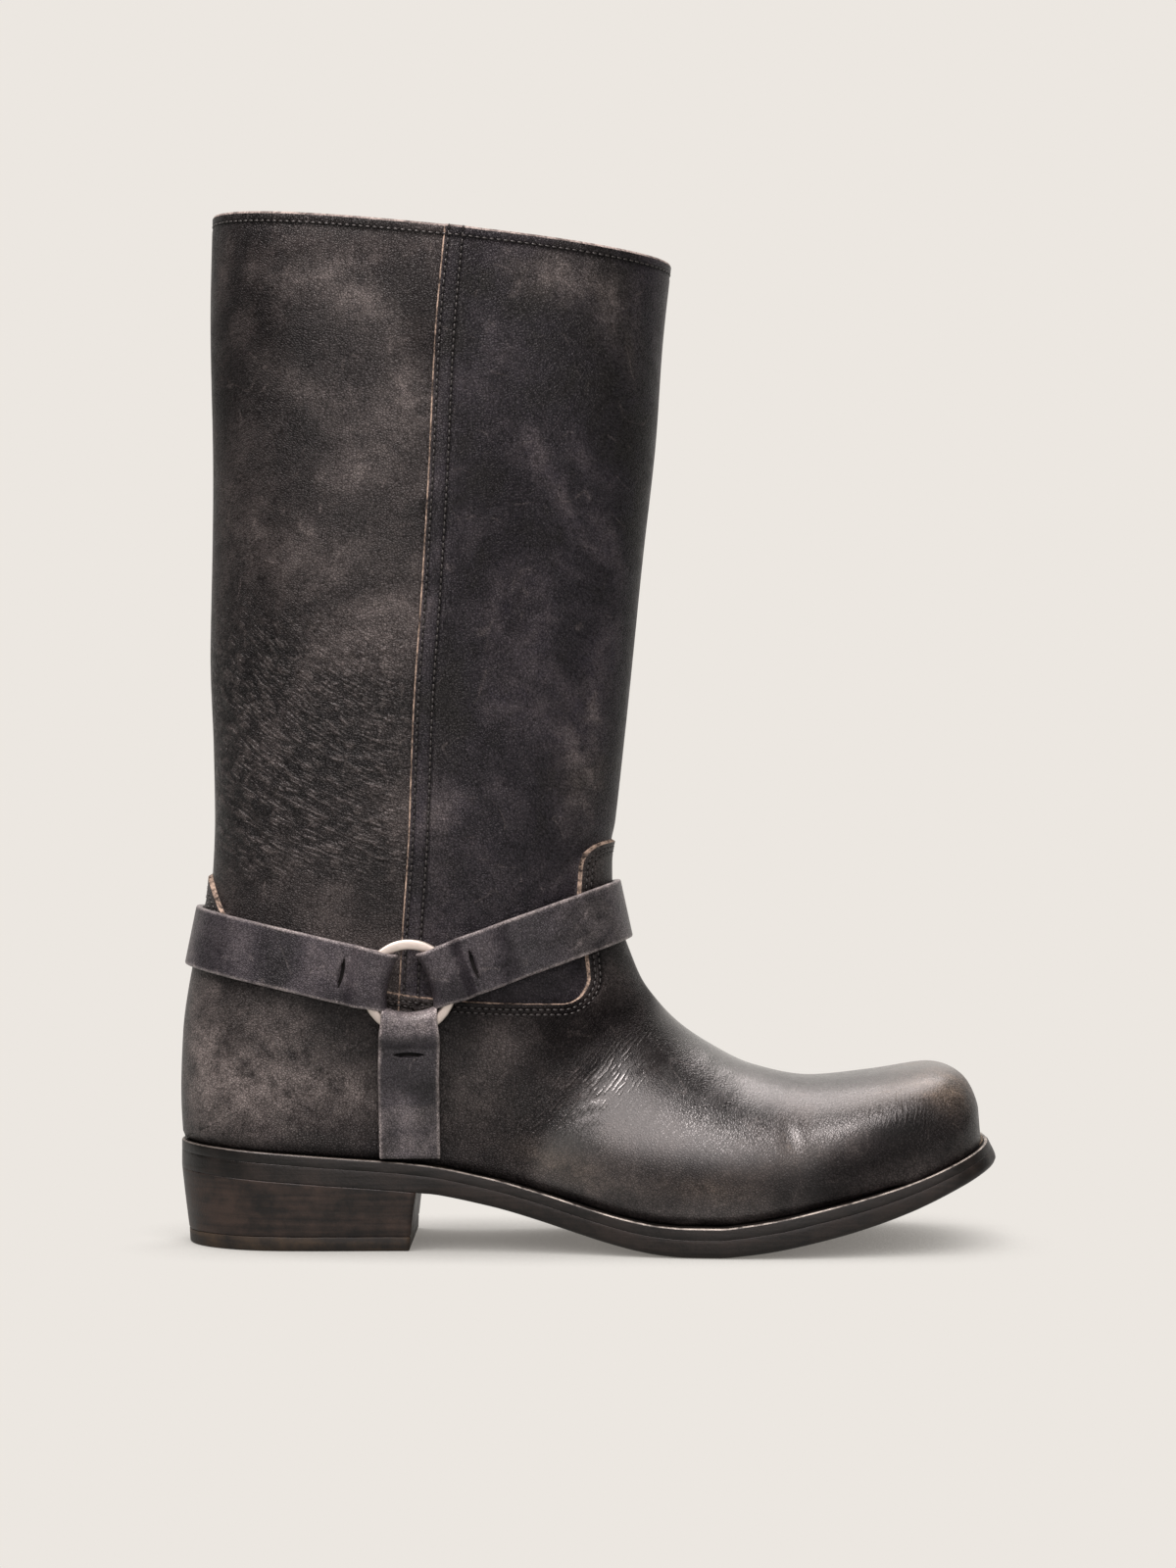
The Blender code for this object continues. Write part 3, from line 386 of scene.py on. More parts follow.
# Insole.
# Tan leather board and sock that close the upper below; only seen down the shaft. It keeps the CAD solid.

# Vegetable-tanned leather: matt tan, darker in foot-worn patches.
insole_leather, tree, shader = new_material("vegetable_tanned_sock", Roughness=0.7)
place = node(tree, "TexCoord", out="Object")
stain = node(tree, "TexNoise", {"Vector": place, "Scale": 1000 / 25, "Detail": 6.0})
colour = node(tree, "Mix", {0: stain, 6: hex_linear("#6f5138"), 7: hex_linear("#a27c58")},
              out=2, data_type="RGBA")
tree.links.new(colour, shader.inputs["Base Color"])
grain = node(tree, "TexNoise", {"Vector": place, "Scale": 1000 / 0.909, "Detail": 2.0})
bump = node(tree, "Bump", {"Height": grain, "Strength": 0.4, "Distance": 0.3 * MM})
tree.links.new(bump, shader.inputs["Normal"])
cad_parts["insole"].data.materials.clear()
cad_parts["insole"].data.materials.append(insole_leather)

# Upper.
# Lined cowhide pulled over the last and lasted under the insole: shaft of two panels lapped at the sides,
# vamp with its tongue and the counter laid over them with raw skived edges, all double-stitched.

# Wall inwards from the last's face, what vamp and counter add, what a side lap adds, gap over the welt.
WALL, VAMP_STEP, LAP_STEP, GAP = 2.2, 1.6, 1.1, 0.3
HEEL_FEATHER = HEEL_BACK + SEAT[0].margin + VAMP_STEP
TOE_FEATHER = TOE_TIP - SEAT[-1].margin - VAMP_STEP
# Sections of the last fan round the instep from the toe to the collar. Each runs from its base to its crown
# in the side view, is widest at its belly and has its own roundness above and below it. Those up to the
# heel's stand on the welt, and over the next few the heel's cup opens into the shaft.
HEEL_SECTION, CUP_SECTIONS = 14, 5
Section = namedtuple(
    "Section", "base_x base_z crown_x crown_z crown_y belly_out belly_in belly_at crown_round base_round"
)
SECTIONS = (
    Section(TOE_START, 0, TOE_FEATHER, 36.9, 1.5, 38.6, 41.2, 0.02, 3.2, 2.0),
    Section(115, 0, 146.2, 52.3, 2.5, 39.6, 42.4, 0.10, 3.4, 2.0),
    Section(108, 0, 140.9, 62.7, 3.5, 41.2, 43.9, 0.14, 3.2, 2.0),
    Section(100, 0, 131.5, 65.4, 4.0, 42.8, 45.2, 0.18, 3.0, 2.0),
    Section(90, 0, 110.0, 62.5, 4.5, 44.6, 46.8, 0.20, 2.6, 2.0),
    Section(76, 0, 86.0, 60.4, 5.0, 46.2, 47.2, 0.22, 2.3, 2.0),
    Section(56, 0, 63.5, 64.6, 5.0, 46.8, 46.0, 0.24, 2.1, 2.0),
    Section(32, 0, 46.3, 72.9, 4.5, 44.4, 41.4, 0.27, 2.0, 2.0),
    Section(4, 0, 34.0, 81.3, 3.6, 40.8, 37.0, 0.32, 1.95, 2.0),
    Section(-26, 0, 25.3, 90.2, 2.6, 37.4, 35.0, 0.40, 1.95, 2.0),
    Section(-58, 0, 19.2, 98.7, 1.8, 35.8, 34.6, 0.45, 2.0, 2.0),
    Section(-92, 0, 15.1, 108.2, 1.0, 35.6, 34.7, 0.48, 2.05, 2.2),
    Section(-124, 0, 12.0, 116.8, 0.5, 35.8, 35.0, 0.50, 2.1, 2.4),
    Section(-144, 0, 10.0, 125.0, 0.2, 36.1, 35.4, 0.50, 2.1, 2.5),
    Section(HEEL_FEATHER, 0, 8.6, 132.0, 0.0, 36.3, 35.6, 0.50, 2.1, 2.6),
    Section(-153.7, 58.0, 7.7, 138.5, 0.0, 36.6, 36.0, 0.50, 2.1, 2.6),
    Section(-152.9, 80.0, 7.7, 144.5, 0.0, 36.9, 36.3, 0.50, 2.1, 2.5),
    Section(-150.0, 101.0, 8.3, 149.5, 0.0, 37.1, 36.6, 0.50, 2.1, 2.4),
    Section(-146.0, 120.0, 9.2, 154.0, 0.0, 37.3, 36.8, 0.50, 2.1, 2.3),
    Section(-143.4, 139.0, 10.3, 159.0, 0.0, 37.6, 37.1, 0.50, 2.1, 2.2),
    Section(-142.5, 161.0, 11.4, 168.0, 0.0, 37.9, 37.4, 0.50, 2.1, 2.2),
    Section(-143.0, 189.0, 13.6, 188.0, 0.0, 38.4, 37.9, 0.50, 2.1, 2.2),
    Section(-144.3, 226.0, 17.5, 225.0, 0.0, 39.1, 38.6, 0.50, 2.15, 2.2),
    Section(-144.0, 266.0, 21.4, 265.0, 0.0, 39.9, 39.4, 0.50, 2.15, 2.2),
    Section(-143.6, 306.0, 25.4, 303.0, 0.0, 40.7, 40.2, 0.50, 2.15, 2.2),
    Section(-143.8, 347.0, 28.3, 339.0, 0.0, 41.4, 40.9, 0.50, 2.15, 2.2),
    Section(-143.2, 389.8, 32.4, 371.9, 0.0, 42.0, 41.5, 0.50, 2.15, 2.2),
)
COLLAR = len(SECTIONS) - 1


def section_curve(value):
    """Smooth curve of one column of the sections over their number."""
    return curve(range(len(SECTIONS)), [getattr(row, value) for row in SECTIONS])


base_x = section_curve("base_x")
back_z = curve(range(HEEL_SECTION, len(SECTIONS)), [seat_top(HEEL_FEATHER) + GAP] + [
    row.base_z for row in SECTIONS[HEEL_SECTION + 1:]
])
crown_x, crown_z, crown_y = section_curve("crown_x"), section_curve("crown_z"), section_curve("crown_y")
belly = {-1: section_curve("belly_out"), 1: section_curve("belly_in")}
belly_at, crown_round, base_round = (section_curve(v) for v in ("belly_at", "crown_round", "base_round"))
QUARTER = np.linspace(0.0, math.pi / 2, 121)


def feather(side, x):
    """Half-width of the line where the upper's lining stands on the welt."""
    return half_width(side, x, welt_margin(x) + VAMP_STEP)


def section_foot(r):
    """Base of section r in the side view."""
    foot = float(base_x(r))
    return foot, float(back_z(r)) if r >= HEEL_SECTION else float(seat_top(foot)) + GAP


def half_section(r, side):
    """Points of one half of section r of the last, from crown to base, and their shares of its length."""
    foot_x, foot_z = section_foot(r)
    top_z = float(crown_z(r))
    if r < 1:
        top_z = (1 - r) * (float(seat_top(TOE_FEATHER)) + GAP) + r * top_z
    wide, at = float(belly[side](r)), float(belly_at(r))
    power = 2 / float(crown_round(r))
    upper_t = at + (1 - at) * np.cos(QUARTER) ** power
    upper_half = wide * np.sin(QUARTER) ** power
    round_power = 2 / float(base_round(r))
    lower_t = at * (1 - np.sin(QUARTER[1:]) ** round_power)
    foot = foot_x + (float(crown_x(r)) - foot_x) * lower_t
    if r >= HEEL_SECTION:
        foot = foot + HEEL_FEATHER - foot_x
    swell = (lower_t / at) ** 2 * (3 - 2 * lower_t / at)
    cup = feather(side, foot) * (1 - swell) + wide * swell
    loop = float(ease((r - HEEL_SECTION) / CUP_SECTIONS))
    lower_half = cup * (1 - loop) + wide * np.cos(QUARTER[1:]) ** round_power * loop
    t = np.concatenate([upper_t, lower_t])
    half = np.concatenate([upper_half, lower_half])
    x = foot_x + (float(crown_x(r)) - foot_x) * t
    if r < 1:
        half = r * half + (1 - r) * feather(side, x)
    z = foot_z + (top_z - foot_z) * t
    if r < 1:
        z = r * z + (1 - r) * (seat_top(x) + GAP)
    points = np.stack([x, float(crown_y(r)) * t * t + side * half, z], axis=1)
    length = np.concatenate([[0], np.cumsum(np.linalg.norm(np.diff(points, axis=0), axis=1))])
    return points, length / length[-1]


SECTION_STEP, SHARE_COUNT = 0.1, 241
SHARES = np.linspace(0, 1, SHARE_COUNT)
last_table = {}
for side in (-1, 1):
    rows = []
    for r in np.arange(0, COLLAR + SECTION_STEP / 2, SECTION_STEP):
        points, share = half_section(min(r, COLLAR), side)
        rows.append(np.stack([np.interp(SHARES, share, points[:, k]) for k in range(3)], axis=1))
    last_table[side] = np.array(rows)


def skin(side, r, c):
    """Points of the last at section r and share c of its half-section, both arrays of one shape."""
    table = last_table[side]
    a = np.clip(np.asarray(r) / SECTION_STEP, 0, len(table) - 1.0001)
    b = np.clip(np.asarray(c) * (SHARE_COUNT - 1), 0, SHARE_COUNT - 1.0001)
    i, j = a.astype(int), b.astype(int)
    f, g = (a - i)[..., None], (b - j)[..., None]
    low = table[i, j] * (1 - g) + table[i, j + 1] * g
    high = table[i + 1, j] * (1 - g) + table[i + 1, j + 1] * g
    return low * (1 - f) + high * f


def on_line(side, c, height, low, high):
    """Sections in which the last's points at shares c reach the side view's line height(x)."""
    r = np.arange(low, high + 1e-9, SECTION_STEP)
    shape = (len(r), len(c))
    grid = skin(side, np.broadcast_to(r[:, None], shape), np.broadcast_to(c, shape))
    over = grid[..., 2] - height(grid[..., 0])
    k = np.clip(np.argmax(over > 0, axis=0), 1, len(r) - 1)
    columns = np.arange(len(c))
    under, above = over[k - 1, columns], over[k, columns]
    return r[k - 1] + SECTION_STEP * np.clip(under / (under - above), 0, 1)


Mark = namedtuple("Mark", "x z")
COUNTER_EDGE = (
    Mark(-144, 140.0), Mark(-136, 124.0), Mark(-120, 113.0), Mark(-100, 104.5), Mark(-76, 97.0),
    Mark(-55, 93.9), Mark(-30, 92.0), Mark(-9.8, 91.5),
)
TONGUE_UPRIGHT = (Mark(0.3, 101.6), Mark(-1.5, 116.0), Mark(-3.6, 130.0), Mark(-3.0, 142.0))
TONGUE_TOP = (Mark(6.0, 151.8), Mark(10.2, 152.8), Mark(14.0, 154.0), Mark(24.0, 156.0))
LAP_EDGE = (
    Mark(-70.0, 90.0), Mark(-68.5, 117.4), Mark(-66.1, 153.0), Mark(-64.3, 200.0), Mark(-61.0, 248.0),
    Mark(-58.5, 290.0), Mark(-56.1, 340.0), Mark(-52.0, 385.0),
)
CORNER_RADIUS = 10.1
TONGUE_PULL = Mark(-2.6, 149.6)


def overlay_edge():
    """Side-view line of the raw edge along counter and vamp, round the corner, up the tongue and over it.

    Also returns the numbers of the points halfway round the corner and the tongue's bend.
    """
    x = np.linspace(COUNTER_EDGE[0].x, COUNTER_EDGE[-1].x, 140)
    level = np.stack([x, table_curve(COUNTER_EDGE, "x", "z")(x)], axis=1)
    turn = np.radians(np.linspace(-90, 0, 25))
    middle = np.array([COUNTER_EDGE[-1].x, COUNTER_EDGE[-1].z + CORNER_RADIUS])
    corner = middle + CORNER_RADIUS * np.stack([np.cos(turn), np.sin(turn)], axis=1)
    z = np.linspace(TONGUE_UPRIGHT[0].z, TONGUE_UPRIGHT[-1].z, 50)[1:]
    upright = np.stack([table_curve(TONGUE_UPRIGHT, "z", "x")(z), z], axis=1)
    t = np.linspace(0, 1, 25)[1:, None]
    start, pull, end = upright[-1], np.array(TONGUE_PULL), np.array(TONGUE_TOP[0])
    bend = start * (1 - t) ** 2 + pull * 2 * t * (1 - t) + end * t * t
    x = np.linspace(TONGUE_TOP[0].x, TONGUE_TOP[-1].x, 20)[1:]
    top = np.stack([x, table_curve(TONGUE_TOP, "x", "z")(x)], axis=1)
    line = np.concatenate([level, corner[1:], upright, bend, top])
    first = len(level) + len(corner) // 2 - 1
    second = len(level) + len(corner) - 1 + len(upright) + len(bend) // 2
    return line, first, second


# Lead-ins that carry each run on past the point where it meets its neighbour, and the top run's far end.
LEVEL_LEAD = ((3, 2.2), (9, 4.5), (20, 6), (80, 6))
UPRIGHT_LEAD = ((-6, -40), (-5, -12), (-3.5, -6), (-1.6, -2.2))
TOP_LEAD = ((-7, -4), (-2.5, -2))
TOP_BEHIND = ((-146, 164), (-70, 140))


def edge_runs(inside):
    """The overlay's edge moved inside by a distance: its level, upright and top runs as curves."""
    line, first, second = overlay_edge()
    along = np.gradient(line, axis=0)
    along /= np.linalg.norm(along, axis=1)[:, None]
    line = line + inside * np.stack([along[:, 1], -along[:, 0]], axis=1)
    a, b = line[first], line[second]
    level = np.concatenate([line[:first + 1], a + np.array(LEVEL_LEAD)])
    upright = np.concatenate([a + np.array(UPRIGHT_LEAD), line[first:second + 1]])
    behind = np.array(TOP_BEHIND) - (0, inside)
    top = np.concatenate([behind, b + np.array(TOP_LEAD), line[second:]])
    level, top = (run[np.argsort(run[:, 0], kind="stable")] for run in (level, top))
    upright = upright[np.argsort(upright[:, 1], kind="stable")]
    return (
        lambda x: np.interp(x, level[:, 0], level[:, 1]),
        lambda z: np.interp(z, upright[:, 1], upright[:, 0]),
        lambda x: np.interp(x, top[:, 0], top[:, 1]),
    )


STITCH_INSIDE = (3.7, 1.9)
EDGE_FOOT = -0.55
edges = [edge_runs(inside) for inside in (*STITCH_INSIDE, 0.0, EDGE_FOOT)]
lap_line = table_curve(LAP_EDGE, "z", "x")
LAP_OFFSETS = (14.0, 6.6, 1.3, 0.0, EDGE_FOOT)
# The upper's grid has a row or a column on every stitch line and edge. Rows go from the toe's base over
# vamp and tongue to the collar, columns from the crown down one side to the base.
ROW_STEPS = (132, 30, 3, 3, 1, 36, 3, 3, 1, 122, 3, 1)
ROW_AT = np.cumsum((0, *ROW_STEPS))
ROW_HEEL, ROW_V2, ROW_V1, ROW_VAMP = (int(row) for row in ROW_AT[1:5])
ROW_T2, ROW_T1, ROW_TONGUE = (int(row) for row in ROW_AT[6:9])
ROW_RIM_STITCH, ROW_RIM, ROW_COLLAR = (int(row) for row in ROW_AT[10:13])
COLUMN_STEPS = (16, 3, 3, 1, 28, 5, 5, 2, 1, 44)
COLUMN_AT = np.cumsum((0, *COLUMN_STEPS))
COL_T2, COL_T1, COL_TONGUE, COL_FOOT = (int(column) for column in COLUMN_AT[1:5])
COL_HUMP, COL_LAP2, COL_LAP1, COL_LAP = (int(column) for column in COLUMN_AT[5:9])
COL_BASE = int(COLUMN_AT[-1])
# Rows ahead of the heel fan out: the sections that they meet at the crown and at the base, and how the
# columns pass from even spacing to the lines of the overlays.
FAN_END, FAN_BLEND_END, CROWN_AT_HEEL = 20, 25, 7.6
FAN_AT, FAN_BASE = (0, 8, 12, FAN_END), (0, 7.6, 11, HEEL_SECTION)
# Sections between which the edges are looked for, collar's stitch line and rim, shares kept at the crown.
VAMP_BETWEEN, TONGUE_BETWEEN = (7.8, 21), (11, 23)
RIM_STITCH_DOWN, RIM_DOWN = 3.6, 0.8
CROWN_SHARES = 4

half_grid = {}
for side in (-1, 1):
    u = np.linspace(0, FAN_END, ROW_STEPS[0] + 1)
    crown = CROWN_AT_HEEL * u / FAN_END
    base = np.interp(u, FAN_AT, FAN_BASE)
    lines = list(crown[:, None] + (base - crown)[:, None] * ease(SHARES)[None, :])
    near = np.linalg.norm(skin(side, np.full(SHARE_COUNT, COLLAR), SHARES)
                          - skin(side, np.full(SHARE_COUNT, COLLAR - SECTION_STEP), SHARES), axis=1)
    keys = [on_line(side, SHARES, run[0], *VAMP_BETWEEN) for run in edges]
    keys += [on_line(side, SHARES, run[2], *TONGUE_BETWEEN) for run in edges]
    keys += [COLLAR - SECTION_STEP * down / near for down in (RIM_STITCH_DOWN, RIM_DOWN)]
    keys.append(np.full(SHARE_COUNT, float(COLLAR)))
    for key, steps in zip(keys, ROW_STEPS[1:]):
        start = lines[-1]
        lines += [start + (key - start) * f for f in np.linspace(0, 1, steps + 1)[1:]]
    lines = np.array(lines)
    dense = skin(side, lines, np.broadcast_to(SHARES, lines.shape))

    def share_where(line):
        """Share of each row at which it passes behind the side view's line."""
        over = dense[..., 0] - line(dense[..., 2])
        k = np.argmax(over[:, CROWN_SHARES:] < 0, axis=1) + CROWN_SHARES
        k = np.clip(k, CROWN_SHARES + 1, SHARE_COUNT - 1)
        row = np.arange(len(over))
        ahead, behind = over[row, k - 1], over[row, k]
        return (k - 1 + np.clip(ahead / (ahead - behind), 0, 1)) / (SHARE_COUNT - 1)

    marks = [np.zeros(len(lines))]
    for run in edges:
        share = share_where(run[1])
        share[ROW_TONGUE + 1:] = share[ROW_TONGUE]
        marks.append(share)
    marks += [share_where(lambda z, ahead=ahead: lap_line(z) + ahead) for ahead in LAP_OFFSETS]
    marks.append(np.ones(len(lines)))
    marks = np.array(marks).T
    rest = np.linspace(FAN_END / FAN_BLEND_END, 1, ROW_STEPS[1] + 1)[1:]
    blend = np.concatenate([u / FAN_BLEND_END, rest])[:, None]
    marks[:ROW_V2 + 1] = (1 - blend) * COLUMN_AT / COL_BASE + blend * marks[ROW_V2]
    c = np.array([np.interp(np.arange(COL_BASE + 1), COLUMN_AT, row) for row in marks])
    r = np.array([np.interp(c[k], SHARES, lines[k]) for k in range(len(lines))])
    half_grid[side] = skin(side, r, c)

skin_grid = np.concatenate([half_grid[-1][:, ::-1], half_grid[1][:, 1:]], axis=1)
ROWS, COLUMNS = skin_grid.shape[:2]
reach = np.abs(np.arange(COLUMNS) - COL_BASE)
row_of = np.arange(ROWS)[:, None]

padded = np.concatenate([2 * skin_grid[:, :1] - skin_grid[:, 1:2], skin_grid,
                         2 * skin_grid[:, -1:] - skin_grid[:, -2:-1]], axis=1)
padded[ROW_HEEL:, 0], padded[ROW_HEEL:, -1] = skin_grid[ROW_HEEL:, -2], skin_grid[ROW_HEEL:, 1]
across = padded[:, 2:] - padded[:, :-2]
upward = np.gradient(skin_grid, axis=0)
skin_normal = np.cross(across, upward)
skin_normal /= np.linalg.norm(skin_normal, axis=2)[..., None]
skin_normal[ROW_HEEL:, 0, 1] = skin_normal[ROW_HEEL:, -1, 1] = 0.0
outer_side_normal = skin_normal[ROW_COLLAR // 2, COL_BASE // 2]
if outer_side_normal[1] > 0:
    skin_normal = -skin_normal
foot_edge = (row_of == 0) | ((reach == COL_BASE)[None, :] & (row_of <= ROW_HEEL))
skin_normal[foot_edge, 2] = 0.0
skin_normal /= np.linalg.norm(skin_normal, axis=2)[..., None]

# Relief over the last in millimetres: overlays, side laps, sunk stitch lines, rounded rim and lasted edge.
STITCH_SINK, RIM_ROUND, TUCK_ROWS, TUCK_DEPTH, SHAFT_WAVE = 0.4, 0.45, 5, 2.2, 0.35
on_overlay = (row_of <= ROW_VAMP) | ((row_of <= ROW_TONGUE) & (reach <= COL_TONGUE)[None, :])
height = np.where(on_overlay, VAMP_STEP, 0.0)
lap_profile = np.interp(reach, (COL_FOOT, COL_HUMP, COL_LAP2, COL_LAP1, COL_LAP, COL_LAP + 1),
                        (0, 0, LAP_STEP, LAP_STEP, LAP_STEP - 0.15, 0))
lap_rows = np.interp(np.arange(ROWS), (0, ROW_HEEL, ROW_V2, ROW_VAMP, ROW_VAMP + 1), (0, 0, 0.6, 0.6, 1))
height = height + lap_profile[None, :] * lap_rows[:, None]
stitch_lines = []
for row_low, column, row_high in ((ROW_V2, COL_T2, ROW_T2), (ROW_V1, COL_T1, ROW_T1)):
    line = [(row_low, COL_BASE + k) for k in range(COL_BASE, column, -1)]
    line += [(row, COL_BASE + column) for row in range(row_low, row_high)]
    line += [(row_high, COL_BASE + k) for k in range(column, -column - 1, -1)]
    line += [(row, COL_BASE - column) for row in range(row_high - 1, row_low - 1, -1)]
    line += [(row_low, COL_BASE - k) for k in range(column + 1, COL_BASE + 1)]
    stitch_lines.append(line)
for side in (-1, 1):
    for column in (COL_LAP2, COL_LAP1):
        stitch_lines.append([(row, COL_BASE + side * column) for row in range(ROW_VAMP + 1, ROW_COLLAR)])
stitch_lines.append([(ROW_RIM_STITCH, k) for k in range(COLUMNS)])
for line in stitch_lines:
    for spot in line:
        height[spot] -= STITCH_SINK
height[ROW_COLLAR] -= RIM_ROUND
from_base = np.where(row_of <= ROW_HEEL, COL_BASE - reach[None, :], TUCK_ROWS)
tuck = np.clip(1 - np.minimum(from_base, row_of) / TUCK_ROWS, 0, 1)
height = height - TUCK_DEPTH * tuck**2

x, y, z = skin_grid[..., 0], skin_grid[..., 1], skin_grid[..., 2]
# The soft shaft stands in slow waves.
shaft = ease((z - 165) / 60)
sag = np.sin(x * 0.055 + z * 0.021 + 1.0) + 0.8 * np.sin(z * 0.047 - x * 0.03 + y * 0.02)
height += shaft * SHAFT_WAVE * sag

# Creases of ankle, toe and lower shaft in the side view; one of negative depth stands up as a fold.
Crease = namedtuple("Crease", "depth wide marks")
CREASES = (
    Crease(0.4, 1.7, ((-19.2, 41.3), (-12.7, 47.8), (-5.8, 52.9), (1.1, 56.9), (8.0, 59.2))),
    Crease(0.35, 1.6, ((-16.3, 40.7), (-9.9, 47.1), (-2.5, 51.1), (5.7, 54.0))),
    Crease(0.4, 1.7, ((-18.1, 43.6), (-11.7, 52.3), (-4.1, 59.2), (-0.1, 65.0), (5.7, 70.8))),
    Crease(0.3, 1.7, ((-14.0, 48.9), (-7.0, 56.9), (-1.3, 62.1), (9.1, 73.2))),
    Crease(0.2, 1.8, ((1.1, 58.1), (9.1, 63.8), (17.2, 67.4), (26.0, 69.5))),
    Crease(0.15, 2.0, ((-8.0, 70.0), (0.0, 77.0), (10.0, 82.0))),
    Crease(0.45, 2.0, ((72.7, 47.7), (75.6, 41.9), (76.8, 33.8))),
    Crease(0.35, 1.9, ((71.4, 45.3), (73.2, 38.4), (72.5, 31.0))),
    Crease(-0.45, 1.6, ((-125.6, 164.0), (-120.0, 155.5), (-114.2, 148.6))),
    Crease(-0.3, 1.8, ((-117.9, 174.2), (-110.6, 167.1), (-103.0, 162.0))),
    Crease(-0.35, 1.8, ((-115.7, 209.9), (-102.6, 200.1), (-95.5, 198.7))),
    Crease(-0.35, 1.9, ((-121.5, 243.6), (-107.0, 227.3), (-101.3, 218.6))),
    Crease(-0.3, 1.8, ((-89.9, 223.0), (-76.9, 223.3), (-66.0, 223.7))),
    Crease(-0.35, 1.8, ((-84.1, 182.8), (-76.0, 181.8), (-69.8, 183.1))),
    Crease(-0.4, 1.8, ((-86.3, 170.7), (-81.2, 172.2), (-69.8, 170.0))),
    Crease(-0.35, 1.8, ((-80.3, 161.3), (-68.0, 160.2))),
    Crease(-0.35, 1.9, ((-138.5, 208.6), (-131.4, 198.7), (-122.9, 188.5))),
    Crease(0.4, 3.0, ((-135.0, 172.0), (-126.0, 160.0), (-118.0, 150.0))),
    Crease(0.35, 3.0, ((-100.0, 190.0), (-86.0, 186.5), (-72.0, 188.0))),
)


def crease_depth(crease, x, z):
    """Soft trough along a line in the side view with low banks beside it, running out at both ends."""
    marks = np.array(crease.marks)
    steps = np.diff(marks, axis=0)
    lengths = np.linalg.norm(steps, axis=1)
    before = np.concatenate([[0], np.cumsum(lengths)])
    best = np.full(x.shape, 1e9)
    place = np.zeros(x.shape)
    for start, step, length, behind in zip(marks, steps, lengths, before):
        t = np.clip(((x - start[0]) * step[0] + (z - start[1]) * step[1]) / length**2, 0, 1)
        away = np.hypot(x - start[0] - t * step[0], z - start[1] - t * step[1])
        place = np.where(away < best, (behind + t * length) / before[-1], place)
        best = np.minimum(best, away)
    ends = ease(np.minimum(place, 1 - place) / 0.3 + 0.15)
    near = best / crease.wide
    return crease.depth * ends * (0.45 * np.exp(-((near - 1.7) ** 2) * 2) - np.exp(-(near**2) * 1.4))


for crease in CREASES:
    height += crease_depth(crease, x, z)

# Soft ovals in the side view: rubbed paler, scuffed down to tan, and darker, which is deeper dye in places
# and painted shade below the front strap, along the vamp's lower side and on the toe's side.
Rub = namedtuple("Rub", "x z long wide turn strength")
RUBS = (
    Rub(-98, 366, 16, 9, 20, 0.45), Rub(-84, 352, 16, 9, -35, 0.8), Rub(-67, 316, 9, 12, 0, 0.7),
    Rub(-105, 319, 24, 6, -40, 0.45), Rub(-80, 294, 16, 10, 10, 0.55), Rub(-91, 261, 18, 12, 0, 0.35),
    Rub(-74, 250, 8, 20, 0, 0.2), Rub(-10, 362, 16, 8, -15, 0.9), Rub(7, 352, 5, 13, 0, 0.5),
    Rub(17, 344, 4, 20, 0, 0.25), Rub(-2, 176, 8, 18, 0, 0.7), Rub(-56, 158, 7, 26, 0, 0.2),
    Rub(-120, 87, 16, 10, 0, 0.6), Rub(-143, 66, 9, 24, 0, 1.5), Rub(-116, 66, 20, 14, 0, 1.05),
    Rub(132, 60, 14, 7, -15, 0.9), Rub(-95, 60, 26, 12, 10, 0.65), Rub(-128, 52, 16, 12, 0, 0.5),
    Rub(-76, 372, 26, 6, 0, 0.3), Rub(-42, 58, 14, 18, 0, 0.4), Rub(-8, 33, 16, 7, -20, 0.7),
    Rub(44, 26, 10, 4, 0, 0.7), Rub(96, 41, 9, 5, 30, 0.5),
)
# Darker ovals on the shaft and under the collar; painted shade below the front strap down to the ankle's
# creases, along the vamp's lower side and on the toe's side.
DYE_AND_SHADE_MARKS = (
    Rub(-143, 330, 14, 60, 0, 0.7), Rub(-120, 346, 9, 24, 5, 0.5), Rub(-62, 341, 7, 13, 0, 0.45),
    Rub(-143, 230, 8, 60, 0, 0.35), Rub(-118, 255, 8, 40, 0, 0.3),
    Rub(-5, 82, 22, 11, 40, 1.0), Rub(-24, 88, 30, 8, 0, 0.6), Rub(-32, 262, 16, 70, 0, 0.35),
    Rub(112, 44, 22, 8, 24, 0.7), Rub(128, 46, 14, 9, 10, 0.3), Rub(60, 27, 70, 8, 8, 0.65),
    Rub(28, 32, 40, 6, -6, 0.6), Rub(22, 82, 16, 9, -52, 0.6), Rub(-100, 372, 44, 4, 0, 0.3),
)
TANS = (
    Rub(112, 57, 26, 5, 12, 0.7), Rub(136, 56, 9, 9, -30, 0.45), Rub(78, 38, 12, 7, 25, 0.6),
    Rub(-8, 33, 22, 8, -20, 0.4), Rub(44, 26, 26, 6, 0, 0.4),
)


def painted(marks):
    """Sum of soft oval marks in the side view at every point of the grid."""
    total = np.zeros_like(x)
    for mark in marks:
        turn = math.radians(mark.turn)
        along = (x - mark.x) * math.cos(turn) + (z - mark.z) * math.sin(turn)
        beside = (z - mark.z) * math.cos(turn) - (x - mark.x) * math.sin(turn)
        total += mark.strength * np.exp(-(along / mark.long) ** 2 - (beside / mark.wide) ** 2)
    return total


rub, dye, tan = painted(RUBS), np.minimum(painted(DYE_AND_SHADE_MARKS), 1.0), np.minimum(painted(TANS), 1.0)
